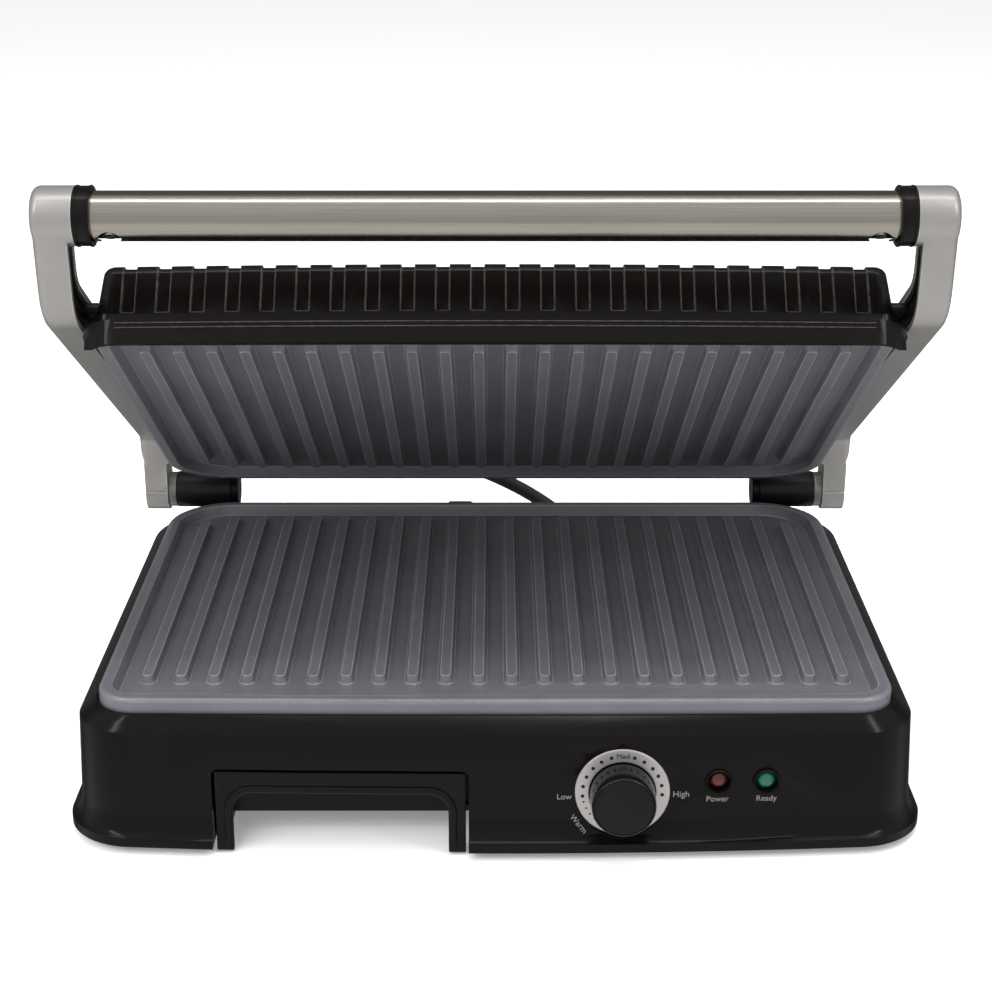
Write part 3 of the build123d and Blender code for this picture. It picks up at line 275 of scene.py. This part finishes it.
def cast_copy(node):
    """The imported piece's own shape, its triangles joined into whole faces."""
    shape = bmesh.new()
    shape.from_mesh(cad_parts[node].data)
    bmesh.ops.remove_doubles(shape, verts=shape.verts, dist=2e-6)
    bmesh.ops.dissolve_limit(shape, angle_limit=radians(0.6), verts=shape.verts, edges=shape.edges)
    return shape


def set_piece(name, shape, material, body, slot, *nodes, soft=35, edge_round=0.0, place=None):
    """Make a shape a piece of the object: smooth, in its place, on its body. The slot argument is not used."""
    if place:
        bmesh.ops.transform(shape, matrix=place, verts=shape.verts)
    mesh = bpy.data.meshes.new(name)
    shape.to_mesh(mesh)
    shape.free()
    mesh.materials.append(material)
    mesh.polygons.foreach_set("use_smooth", [True] * len(mesh.polygons))
    mesh.set_sharp_from_angle(angle=radians(soft))
    piece = bpy.data.objects.new(name, mesh)
    scene.collection.objects.link(piece)
    if edge_round:
        rounding = piece.modifiers.new("rounded_edges", "BEVEL")
        rounding.width, rounding.segments = edge_round * MM, 2
        rounding.limit_method, rounding.angle_limit = "ANGLE", radians(soft)
        rounding.harden_normals = True
    if body:
        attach(piece, body)
    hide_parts(*nodes)
    return piece


# The near-white edge colour is a painted highlight along the rib edges.
plate_coating = finish("plate_coating", (0.125, 0.122, 0.140), (0.185, 0.181, 0.202), rough=(0.24, 0.40),
                       metallic=0.3, bump=0.25, speckle=3000.0, edge=(0.95, 0.93, 0.96), specular=0.5)
for level, body in (("lower", "base"), ("upper", "lid")):
    set_piece(level + "_plate", cast_copy(level + "_grill_plate"), plate_coating, body, "plate_coating",
              level + "_grill_plate", edge_round=0.5)

# ---- Base housing --------------------------------------------------------------------------------
# One moulding of glossy brown-black plastic: a sloping frame round the plate, a soft shoulder, a
# plain wall and a flared foot.  The settings are printed on its front in pale grey.
SHOULDER_HEIGHT = 49.0
gloss_black = finish("gloss_black", (0.0032, 0.0025, 0.0023), (0.0045, 0.0036, 0.0032), rough=(0.15, 0.23),
                     bump=0.05, patch=14.0, speckle=900.0, specular=0.17)
base_shell = cast_copy("base_housing")
shoulder = [edge for edge in base_shell.edges
            if all(abs(vert.co.z - SHOULDER_HEIGHT * MM) < 0.02 * MM for vert in edge.verts)
            and edge.calc_face_angle(0) > radians(20)]
bmesh.ops.bevel(base_shell, geom=shoulder, offset=2.6 * MM, offset_type="OFFSET", segments=4, profile=0.5,
                affect="EDGES", material=-1, clamp_overlap=True)
housing_front = BVHTree.FromBMesh(base_shell)
set_piece("housing_shell", base_shell, gloss_black, "base", "gloss_black", "base_housing", edge_round=0.35)


def laid_on(shape, wall, proud):
    """Print a flat shape on a wall that faces the user, point by point."""
    for vert in shape.verts:
        place, *_ = wall.ray_cast(Vector((vert.co.x, -1, vert.co.z)), Vector((0, 1, 0)))
        vert.co.y += place.y - proud * MM
    return shape


def drafted(draft):
    """A text's or curve's solid as a shape."""
    mesh = bpy.data.meshes.new_from_object(draft.evaluated_get(bpy.context.evaluated_depsgraph_get()))
    shape = bmesh.new()
    shape.from_mesh(mesh)
    bpy.data.meshes.remove(mesh)
    return shape


def lettering(name, words, x, z, size, turn=0.0):
    """A word printed on the front wall, centred on (x, z)."""
    text = bpy.data.curves.new(name, "FONT")
    text.body, text.size, text.align_x, text.align_y = words, size * MM, "CENTER", "CENTER"
    text.extrude = 0.05 * MM
    draft = bpy.data.objects.new(name + "_draft", text)
    scene.collection.objects.link(draft)
    shape = drafted(draft)
    bpy.data.objects.remove(draft)
    bmesh.ops.rotate(shape, verts=shape.verts, cent=(0, 0, 0), matrix=Matrix.Rotation(radians(turn), 3, "Z"))
    bmesh.ops.rotate(shape, verts=shape.verts, cent=(0, 0, 0), matrix=Matrix.Rotation(radians(90), 3, "X"))
    bmesh.ops.translate(shape, verts=shape.verts, vec=(x * MM, 0, z * MM))
    return shape


legend_grey = finish("legend_ink", (0.16, 0.155, 0.15), (0.21, 0.205, 0.20), rough=(0.5, 0.6), speckle=6000.0)
for name, words, x, z, size, turn in (
    ("legend_low", "Low", 25.7, 24.6, 3.2, 0),
    ("legend_high", "High", 69.4, 25.3, 3.4, 0),
    ("legend_warm", "Warm", 31.2, 13.6, 3.2, -50),
    ("legend_power", "Power", 83.0, 23.2, 3.2, 0),
    ("legend_ready", "Ready", 101.4, 23.2, 3.2, 0),
):
    word = lettering(name, words, x, z, size, turn)
    set_piece(name, laid_on(word, housing_front, 0.08), legend_grey, "base", "gloss_black")

# ---- Bottom cover, feet and screws ---------------------------------------------------------------
# A flat black cover closes the housing from below, held by six screws, on four rubber feet.
matte_black = finish("matte_black", (0.004, 0.0035, 0.0034), (0.0065, 0.0058, 0.0055), rough=(0.38, 0.52), bump=0.35,
                     patch=30.0, speckle=4200.0, specular=0.25)
foot_rubber = finish("foot_rubber", (0.014, 0.0135, 0.013), (0.020, 0.019, 0.019), rough=(0.62, 0.78), bump=0.3,
                     speckle=2600.0, specular=0.3)
bright_steel = finish("bright_steel", (0.52, 0.51, 0.49), (0.64, 0.63, 0.61), rough=(0.16, 0.28), metallic=1.0,
                      patch=120.0, speckle=4000.0)
for node, material, slot, rounding in (
    ("base_bottom_cover", matte_black, "inner_black", 0.3),
    ("rubber_feet", foot_rubber, "foot_rubber", 0.5),
    ("cover_screws", bright_steel, "screw_steel", 0.3),
):
    set_piece(node + "_piece", cast_copy(node), material, "base", slot, node, edge_round=rounding)

# ---- Drip tray -----------------------------------------------------------------------------------
# A black drawer with a pan behind its face.  The face is cut out for the fingers, and a rolled lip
# runs round the cut-out.
satin_black = finish("satin_black", (0.0028, 0.0023, 0.0022), (0.0042, 0.0036, 0.0033), rough=(0.20, 0.30),
                     bump=0.1, patch=25.0, speckle=1600.0, specular=0.19)
set_piece("tray_drawer", cast_copy("drip_tray"), satin_black, "tray", "bezel_black", "drip_tray", edge_round=0.5)

CUT_OUT = (-98.5, -17.5, 25.2)      # left, right, top
LIP_WIDTH, LIP_GAP, LIP_PROUD = 2.6, 0.5, 0.9
reach = LIP_WIDTH + LIP_GAP
left, right, top = CUT_OUT[0] - reach, CUT_OUT[1] + reach, CUT_OUT[2] + reach
lip = bmesh.new()
bmesh.ops.create_grid(lip, x_segments=1, y_segments=1, size=0.5)
bmesh.ops.scale(lip, verts=lip.verts, vec=((right - left) * MM, (top + 6) * MM, 1))
upper_corners = [vert for vert in lip.verts if vert.co.y > 0]
bmesh.ops.bevel(lip, geom=upper_corners, offset=10.5 * MM, offset_type="OFFSET", segments=10, profile=0.5,
                affect="VERTICES", material=-1)
bmesh.ops.inset_individual(lip, faces=lip.faces[:], thickness=LIP_WIDTH * MM)
inner = max(lip.faces, key=lambda face: face.calc_area())
bmesh.ops.delete(lip, geom=[inner], context="FACES")
bmesh.ops.translate(lip, verts=lip.verts, vec=((left + right) / 2 * MM, (top - 6) / 2 * MM, 0))
bmesh.ops.bisect_plane(lip, geom=lip.verts[:] + lip.edges[:] + lip.faces[:], plane_co=(0, 1.4 * MM, 0),
                       plane_no=(0, 1, 0), clear_inner=True)
long_edges = [edge for edge in lip.edges if edge.calc_length() > 30 * MM]
bmesh.ops.subdivide_edges(lip, edges=long_edges, cuts=12, use_grid_fill=True)
bmesh.ops.solidify(lip, geom=lip.faces[:], thickness=(LIP_PROUD + 0.6) * MM)
bmesh.ops.rotate(lip, verts=lip.verts, cent=(0, 0, 0), matrix=Matrix.Rotation(radians(90), 3, "X"))
front = min(vert.co.y for vert in lip.verts)
for vert in lip.verts:
    vert.co.y += (-118.6 - LIP_PROUD + 4.3 * (vert.co.x / MM / 158) ** 2) * MM - front
bmesh.ops.recalc_face_normals(lip, faces=lip.faces[:])
set_piece("tray_lip", lip, satin_black, "tray", "bezel_black", edge_round=0.7, place=table_shift)

# ---- Dial, knob and lamps ------------------------------------------------------------------------
# A turned aluminium ring with printed marks lies round a black knob on the thermostat's shaft.
# Beside it two jewel lamps, red and green, sit in black rings.
DIAL_X, DIAL_Z, DIAL_FRONT = 47.4, 26.3, -118.6


def turned(profile, steps=96):
    """A shape turned about the X axis from a closed list of (x, radius) in millimetres."""
    shape = bmesh.new()
    ring = [shape.verts.new((x * MM, radius * MM, 0)) for x, radius in profile]
    for start, end in zip(ring, ring[1:] + ring[:1]):
        shape.edges.new((start, end))
    bmesh.ops.spin(shape, geom=shape.verts[:] + shape.edges[:], cent=(0, 0, 0), axis=(1, 0, 0), angle=tau,
                   steps=steps, use_merge=True, use_duplicate=False)
    bmesh.ops.remove_doubles(shape, verts=shape.verts, dist=1e-6)
    bmesh.ops.dissolve_degenerate(shape, dist=1e-7, edges=shape.edges[:])
    bmesh.ops.recalc_face_normals(shape, faces=shape.faces[:])
    return shape


def facing_front(x, y, z):
    """Turned shapes set with their axis towards the user."""
    return table_shift @ Matrix.Translation((x * MM, y * MM, z * MM)) @ Matrix.Rotation(radians(-90), 4, "Z")


turning, given, result = surface_group(
    "turning", (("Centre X", 0.0), ("Centre Z", 0.0), ("Fineness", 2500.0)), (("Rings", "NodeSocketFloat"),))
coordinates = turning.nodes.new("ShaderNodeTexCoord")
parts = turning.nodes.new("ShaderNodeSeparateXYZ")
turning.links.new(coordinates.outputs["Object"], parts.inputs["Vector"])
squares = []
for axis in "XZ":
    offset = turning.nodes.new("ShaderNodeMath")
    offset.operation = "SUBTRACT"
    turning.links.new(parts.outputs[axis], offset.inputs[0])
    turning.links.new(given.outputs["Centre " + axis], offset.inputs[1])
    square = turning.nodes.new("ShaderNodeMath")
    square.operation = "MULTIPLY"
    turning.links.new(offset.outputs[0], square.inputs[0])
    turning.links.new(offset.outputs[0], square.inputs[1])
    squares.append(square)
radius = turning.nodes.new("ShaderNodeMath")
turning.links.new(squares[0].outputs[0], radius.inputs[0])
turning.links.new(squares[1].outputs[0], radius.inputs[1])
root = turning.nodes.new("ShaderNodeMath")
root.operation = "SQRT"
turning.links.new(radius.outputs[0], root.inputs[0])
rings = turning.nodes.new("ShaderNodeTexNoise")
rings.noise_dimensions = "1D"
rings.inputs["Detail"].default_value = 3.0
turning.links.new(root.outputs[0], rings.inputs["W"])
turning.links.new(given.outputs["Fineness"], rings.inputs["Scale"])
turning.links.new(rings.outputs["Fac"], result.inputs["Rings"])

dial_silver = finish("dial_silver", (0.46, 0.44, 0.43), (0.62, 0.60, 0.59), rough=(0.26, 0.40), metallic=0.75,
                     bump=0.2, speckle=4000.0)
dial_nodes, dial_links = dial_silver.node_tree.nodes, dial_silver.node_tree.links
lathe = dial_nodes.new("ShaderNodeGroup")
lathe.node_tree = turning
lathe.inputs["Centre X"].default_value = DIAL_X * MM
lathe.inputs["Centre Z"].default_value = DIAL_Z * MM
dial_links.new(lathe.outputs["Rings"], dial_nodes["Mix"].inputs["Factor"])
dial_links.new(lathe.outputs["Rings"], dial_nodes["Bump"].inputs["Height"])

dial_profile = [(0, 12.4), (0, 17.2), (0.25, 17.75), (0.55, 17.75), (0.8, 17.4), (0.8, 12.8), (0.5, 12.4)]
set_piece("dial_ring", turned(dial_profile), dial_silver, "base", "dial_silver", "dial_plate",
          place=facing_front(DIAL_X, DIAL_FRONT + 0.8, DIAL_Z))
mark_ink = finish("mark_ink", (0.003, 0.003, 0.003), (0.006, 0.006, 0.006), rough=(0.45, 0.55), speckle=6000.0)
marks = bmesh.new()
big_marks = (185.5, 170.3, 154.3, 137.9, 122.2, 106.7, 73.2, 57.9, 41.7, 27.3, 11.2, -3.4)
small_marks = (195, 205.8, 216.6, 226.6)
for angles, size in ((big_marks, 0.72), (small_marks, 0.4)):
    for angle in angles:
        bmesh.ops.create_cone(
            marks, cap_ends=True, segments=20, radius1=size * MM, radius2=size * MM, depth=0.08 * MM,
            matrix=Matrix.Translation((14.9 * cos(radians(angle)) * MM, 0, 14.9 * sin(radians(angle)) * MM))
            @ Matrix.Rotation(radians(90), 4, "X"))
bmesh.ops.translate(marks, verts=marks.verts, vec=(DIAL_X * MM, (DIAL_FRONT - 0.03) * MM, DIAL_Z * MM))
set_piece("dial_marks", marks, mark_ink, "base", "knob_black", place=table_shift)
medium = lettering("legend_medium", "Med", DIAL_X, DIAL_Z + 14.9, 2.9)
bmesh.ops.translate(medium, verts=medium.verts, vec=(0, (DIAL_FRONT - 0.08) * MM, 0))
set_piece("legend_medium", medium, mark_ink, "base", "knob_black", place=table_shift)

knob_black = finish("knob_black", (0.003, 0.0026, 0.0025), (0.005, 0.0045, 0.0043), rough=(0.10, 0.18), bump=0.06,
                    speckle=1500.0, specular=0.4)
knob_side = [(0, 3.2), (0, 12.0), (0.3, 12.2), (10.6, 11.95), (11.4, 11.85), (11.85, 11.6), (12.0, 11.3),
             (11.8, 11.15), (9.5, 11.15), (9.5, 3.2)]
set_piece("knob_shell", turned(knob_side, 128), knob_black, "knob", "knob_black", "knob",
          place=facing_front(DIAL_X, DIAL_FRONT - 0.6, DIAL_Z))
cap_rings = [(9.6, 0.0), (9.6, 11.05), (11.7, 11.05), (11.9, 10.85), (11.95, 10.4), (12.0, 5.0), (12.0, 0.0)]
knob_matte = finish("knob_matte", (0.005, 0.0042, 0.004), (0.0075, 0.0065, 0.0062), rough=(0.36, 0.48), bump=0.2,
                    speckle=5000.0, specular=0.2)
set_piece("knob_disc", turned(cap_rings, 96), knob_matte, "knob", "knob_black", "knob_cap",
          place=facing_front(DIAL_X, DIAL_FRONT - 0.6, DIAL_Z))

LENS_PROFILE = [(0, 0.0), (0, 3.85), (2.6, 3.85), (3.0, 3.35), (3.9, 3.2), (4.6, 2.6), (5.0, 1.4), (5.1, 0.0)]
RING_PROFILE = [(0, 4.05), (0, 5.0), (2.9, 5.0), (3.3, 4.75), (3.2, 4.4), (1.4, 3.95), (0.6, 4.05)]
for lamp_name, lamp_x, dark, light in (
    ("power", 83.4, (0.035, 0.005, 0.004), (0.10, 0.012, 0.009)),
    ("ready", 101.2, (0.005, 0.065, 0.042), (0.025, 0.19, 0.12)),
):
    lens_finish = finish(lamp_name + "_lens", dark, light, rough=(0.06, 0.14), patch=500.0, speckle=900.0,
                         transmission=0.25, coat=0.5, specular=0.6)
    set_piece(lamp_name + "_jewel", turned(LENS_PROFILE, 48), lens_finish, "base",
              "lens_red" if lamp_name == "power" else "lens_green", lamp_name + "_lamp_lens",
              place=facing_front(lamp_x, -112.2, 30.4))
    ring = set_piece(lamp_name + "_ring", turned(RING_PROFILE, 48), satin_black, "base", "bezel_black",
                     place=facing_front(lamp_x, -115.2, 30.4))
    if lamp_name == "power":
        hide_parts("lamp_bezels")

# ---- Lid -----------------------------------------------------------------------------------------
# A fluted cover of the same glossy plastic stands on a black frame, whose lip hangs down in front
# of the upper plate.  Two fine ridges run along the lip.
# The lid's black is the gloss black plus a painted highlight along the flute edges.
lid_black = finish("lid_black", (0.0032, 0.0025, 0.0023), (0.0045, 0.0036, 0.0032), rough=(0.15, 0.23), bump=0.05,
                   patch=14.0, speckle=900.0, edge=(0.20, 0.185, 0.175), specular=0.17)
set_piece("lid_cover", cast_copy("upper_housing"), lid_black, "lid", "gloss_black", "upper_housing",
          edge_round=0.45)
set_piece("lid_frame", cast_copy("upper_bezel"), gloss_black, "lid", "bezel_black", "upper_bezel", edge_round=1.1)

RIDGE_HEIGHTS, RIDGE_WIDTH, RIDGE_DEPTH = (64.6, 66.4), 0.9, 0.5
LIP_FRONT, LIP_SIDE, LIP_BOW, LIP_CORNER = -117.5, 153.4, 3.0, 14
ridges = bmesh.new()
for ridge_z in RIDGE_HEIGHTS:
    strip = bmesh.ops.create_grid(ridges, x_segments=24, y_segments=1, size=0.5)["verts"]
    bmesh.ops.scale(ridges, verts=strip, vec=(2 * (LIP_SIDE - LIP_CORNER) * MM, RIDGE_WIDTH * MM, 1))
    bmesh.ops.translate(ridges, verts=strip, vec=(0, (LIP_FRONT + 0.1) * MM, ridge_z * MM))
    for vert in strip:
        vert.co.y += LIP_BOW * MM * (vert.co.x / (LIP_SIDE * MM)) ** 2
bmesh.ops.solidify(ridges, geom=ridges.faces[:], thickness=RIDGE_DEPTH * MM)
bmesh.ops.recalc_face_normals(ridges, faces=ridges.faces[:])
set_piece("lid_ridges", ridges, lid_black, "lid", "bezel_black", edge_round=0.2, place=raised)

# ---- Arms ----------------------------------------------------------------------------------------
# Two silver castings, hollow on the inside, each closed by a black inner cover with a raised rim.
# Their outer edges are well rounded, and a painted highlight in the colour brightens them.
arm_silver = finish("arm_silver", (0.30, 0.288, 0.275), (0.40, 0.385, 0.37), rough=(0.26, 0.40), metallic=0.65,
                    bump=0.12, patch=22.0, speckle=5000.0, edge=(0.80, 0.78, 0.76))
for side, sign in (("left", -1), ("right", 1)):
    arm = cast_copy("arm_" + side)
    outer = max(sign * vert.co.x for vert in arm.verts)
    rim = [edge for edge in arm.edges
           if all(sign * vert.co.x > outer - 0.05 * MM for vert in edge.verts)
           and edge.calc_face_angle(0) > radians(30)]
    bmesh.ops.bevel(arm, geom=rim, offset=3.2 * MM, offset_type="OFFSET", segments=6, profile=0.5, affect="EDGES",
                    material=-1, clamp_overlap=False)
    set_piece("arm_casting_" + side, arm, arm_silver, "arms", "arm_silver", "arm_" + side, edge_round=0.3)
    set_piece("arm_lining_" + side, cast_copy("arm_cover_" + side), matte_black, "arms", "inner_black",
              "arm_cover_" + side, edge_round=0.3)

# ---- Handle --------------------------------------------------------------------------------------
# A tube of brushed stainless steel, open along its lower back, is clipped over a black core.  A
# cross-head screw near each end goes through a scallop in the tube; black collars hide its ends.
HANDLE_Y, HANDLE_Z = -132.7, 100.9
handle_place = raised @ Matrix.Translation((0, HANDLE_Y * MM, HANDLE_Z * MM))
TUBE_RADIUS, TUBE_WALL, TUBE_HALF = 9.15, 0.8, 151.0
SCREW_X, SCREW_ANGLE = 139.0, -89.0


def carved(shape, cutter):
    """The shape with the cutter's volume taken out of it."""
    drafts = []
    for part in (shape, cutter):
        mesh = bpy.data.meshes.new("draft")
        part.to_mesh(mesh)
        part.free()
        draft = bpy.data.objects.new("draft", mesh)
        scene.collection.objects.link(draft)
        drafts.append(draft)
    knife = drafts[0].modifiers.new("knife", "BOOLEAN")
    knife.operation, knife.object, knife.solver = "DIFFERENCE", drafts[1], "EXACT"
    knife.use_self = True
    rest_shape = bmesh.new()
    rest_shape.from_object(drafts[0], bpy.context.evaluated_depsgraph_get())
    for draft in drafts:
        bpy.data.meshes.remove(draft.data)
    return rest_shape


def down_screw(x, distance):
    """A screw's own axis, upwards out of the core, in the handle's frame."""
    out = Vector((0, cos(radians(SCREW_ANGLE)), sin(radians(SCREW_ANGLE))))
    foot = Vector((x, 0, 0)) + out * distance
    return Matrix.Translation(foot * MM) @ out.to_track_quat("Z", "Y").to_matrix().to_4x4()


brushed_steel = finish("brushed_handle", (0.40, 0.365, 0.325), (0.54, 0.50, 0.455), rough=(0.16, 0.28), metallic=1.0,
                       bump=0.12, lines=1800.0)
tube = bmesh.new()
first = [tube.verts.new((x * MM, TUBE_RADIUS * cos(radians(-19)) * MM, TUBE_RADIUS * sin(radians(-19)) * MM))
         for x in (-TUBE_HALF, TUBE_HALF)]
tube.edges.new(first)
bmesh.ops.spin(tube, geom=tube.verts[:] + tube.edges[:], cent=(0, 0, 0), axis=(1, 0, 0), angle=radians(310),
               steps=110, use_merge=False, use_duplicate=False)
bmesh.ops.recalc_face_normals(tube, faces=tube.faces[:])
if sum(face.normal.dot(face.calc_center_median() * Vector((0, 1, 1))) for face in tube.faces) < 0:
    bmesh.ops.reverse_faces(tube, faces=tube.faces[:])
bmesh.ops.solidify(tube, geom=tube.faces[:], thickness=TUBE_WALL * MM)
bmesh.ops.recalc_face_normals(tube, faces=tube.faces[:])
scallops = bmesh.new()
for x in (-SCREW_X, SCREW_X):
    bmesh.ops.create_cone(scallops, cap_ends=True, segments=48, radius1=4.6 * MM, radius2=4.6 * MM, depth=16 * MM,
                          matrix=down_screw(x, 10))
set_piece("handle_tube", carved(tube, scallops), brushed_steel, "arms", "brushed_handle", "handle_sleeve",
          soft=40, place=handle_place)
set_piece("handle_bar", cast_copy("handle_core"), matte_black, "arms", "inner_black", "handle_core", edge_round=0.2)

screws = bmesh.new()
for x in (-SCREW_X, SCREW_X):
    bmesh.ops.create_cone(screws, cap_ends=True, segments=40, radius1=3.1 * MM, radius2=2.5 * MM, depth=1.8 * MM,
                          matrix=down_screw(x, 7.1))
slots = bmesh.new()
for x in (-SCREW_X, SCREW_X):
    for turn in (25, 115):
        bmesh.ops.create_cube(slots, size=1.0, matrix=down_screw(x, 8.0) @ Matrix.Rotation(radians(turn), 4, "Z")
                              @ Matrix.Diagonal((3.6 * MM, 0.75 * MM, 1.8 * MM, 1)))
set_piece("handle_cross_screws", carved(screws, slots), bright_steel, "arms", "screw_steel", "handle_screws",
          edge_round=0.12, place=handle_place)

collar_profile = [(0, 9.4), (0, 10.9), (0.3, 11.2), (0.9, 11.2), (1.2, 10.9), (5.0, 10.9), (5.3, 11.2), (5.8, 11.2),
                  (6.1, 10.9), (6.1, 9.4)]
for side, start in (("left", -151.2), ("right", 145.1)):
    set_piece("collar_" + side, turned(collar_profile), satin_black, "arms", "inner_black", "handle_collar_" + side,
              place=handle_place @ Matrix.Translation((start * MM, 0, 0)))

# ---- Hinges and pivots ---------------------------------------------------------------------------
# Black die-cast brackets are screwed to the rear deck.  Steel pins, fast in the arms, turn in their
# barrels with a grey washer between; shorter pins carry the floating lid in brass bushes.
hinge_black = finish("hinge_black", (0.0045, 0.004, 0.0038), (0.007, 0.0062, 0.006), rough=(0.28, 0.42), bump=0.3,
                     patch=60.0, speckle=1800.0, specular=0.3)
washer_grey = finish("washer_grey", (0.22, 0.215, 0.21), (0.32, 0.315, 0.31), rough=(0.28, 0.42), metallic=0.9,
                     patch=150.0, speckle=4000.0)
bush_brass = finish("bush_brass", (0.42, 0.31, 0.13), (0.56, 0.43, 0.20), rough=(0.3, 0.45), metallic=1.0,
                    patch=200.0, speckle=3500.0, bump=0.2)
for side in ("left", "right"):
    for node, material, body, slot, rounding in (
        ("hinge_bracket_", hinge_black, "base", "hinge_black", 0.5),
        ("hinge_cap_", satin_black, "base", "bezel_black", 0.8),
        ("hinge_washer_", washer_grey, "arms", "washer_grey", 0.25),
        ("hinge_pin_", bright_steel, "arms", "screw_steel", 0.3),
        ("pivot_pin_", hinge_black, "arms", "hinge_black", 0.3),
        ("pivot_bush_", bush_brass, "lid", "bush_brass", 0.2),
    ):
        set_piece(node + "turned_" + side, cast_copy(node + side), material, body, slot, node + side,
                  edge_round=rounding)
set_piece("hinge_foot_screws", cast_copy("hinge_screws"), bright_steel, "base", "screw_steel", "hinge_screws")

# ---- Wiring that shows ---------------------------------------------------------------------------
# A dark rubber lead, 6.6 mm thick, loops from the base to the lid through two glands.  The mains
# inlet has a collared bushing in the back wall.
for node, body in (("link_gland_base", "base"), ("cord_bushing", "base"), ("link_gland_lid", "lid")):
    set_piece(node + "_piece", cast_copy(node), foot_rubber, body, "foot_rubber", node, edge_round=0.6)
set_piece("rear_stop_block", cast_copy("rear_stop"), matte_black, "base", "inner_black", "rear_stop", edge_round=0.6)

LEAD_ROUTE = ((-26, 128.97, 82.01), (-26, 141.55, 73.84), (-15, 156, 63), (0, 165, 54), (17, 168, 44), (32, 163, 35),
              (40, 152, 30), (40, 141, 30))
lead_curve = bpy.data.curves.new("lead_route", "CURVE")
lead_curve.dimensions = "3D"
lead_curve.bevel_depth, lead_curve.bevel_resolution, lead_curve.use_fill_caps = 3.3 * MM, 8, True
lead_curve.resolution_u = 10
route = lead_curve.splines.new("NURBS")
route.points.add(len(LEAD_ROUTE) - 1)
for point, place in zip(route.points, LEAD_ROUTE):
    point.co = (*(coordinate * MM for coordinate in place), 1)
route.order_u = 3
route.use_endpoint_u = True
lead_draft = bpy.data.objects.new("lead_draft", lead_curve)
scene.collection.objects.link(lead_draft)
cut_at, cut_normal = Vector((-7.5, 160.5, 58.5)) * MM, Vector((15, 9, -9))
shift = table_shift.to_translation()
for half, first_body, last_body, ends in (
    ("upper", "arms", "lid", (cut_at + shift, Vector(LEAD_ROUTE[0]) * MM + shift)),
    ("lower", "base", "arms", (Vector(LEAD_ROUTE[-1]) * MM + shift, cut_at + shift)),
):
    lead = drafted(lead_draft)
    bmesh.ops.remove_doubles(lead, verts=lead.verts, dist=1e-6)
    cut = bmesh.ops.bisect_plane(lead, geom=lead.verts[:] + lead.edges[:] + lead.faces[:], plane_co=cut_at,
                                 plane_no=cut_normal, clear_outer=half == "upper", clear_inner=half == "lower")
    bmesh.ops.edgeloop_fill(lead, edges=[part for part in cut["geom_cut"] if isinstance(part, bmesh.types.BMEdge)])
    bmesh.ops.recalc_face_normals(lead, faces=lead.faces[:])
    piece = set_piece("lead_" + half, lead, foot_rubber, None, "foot_rubber", "link_lead", place=table_shift)
    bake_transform(piece)
bpy.data.objects.remove(lead_draft)

# ---- Works inside the housings -------------------------------------------------------------------
# Sheathed heaters with clips, zinc-plated shields on standoffs, fuses, the thermostat with its
# bracket and shaft, lamp sockets, tray rails and the terminal block stay as they were packed.
heater_steel = finish("heater_steel", (0.10, 0.095, 0.09), (0.20, 0.185, 0.17), rough=(0.45, 0.6), metallic=0.8,
                      patch=60.0, speckle=2500.0, bump=0.2)
zinc_sheet = finish("zinc_sheet", (0.42, 0.42, 0.42), (0.56, 0.56, 0.57), rough=(0.3, 0.5), metallic=0.95,
                    patch=180.0, speckle=1500.0)
fuse_ceramic = finish("fuse_ceramic", (0.70, 0.68, 0.63), (0.78, 0.76, 0.71), rough=(0.5, 0.65), bump=0.2,
                      speckle=3500.0)
socket_plastic = finish("socket_plastic", (0.50, 0.47, 0.42), (0.58, 0.55, 0.49), rough=(0.45, 0.6), bump=0.2,
                        speckle=3000.0)
inner_works = {
    "heating_element": heater_steel, "element_clips": zinc_sheet, "heat_shield": zinc_sheet,
    "shield_standoffs": zinc_sheet, "plate_screws": bright_steel, "thermal_fuse": fuse_ceramic,
}
for level in ("lower_", "upper_"):
    for name, material in inner_works.items():
        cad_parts[level + name].data.materials[0] = material
for name, material in (("thermostat", socket_plastic), ("thermostat_bracket", zinc_sheet),
                       ("thermostat_shaft", bright_steel), ("lamp_sockets", socket_plastic),
                       ("tray_rails", matte_black), ("terminal_block", socket_plastic)):
    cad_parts[name].data.materials[0] = material
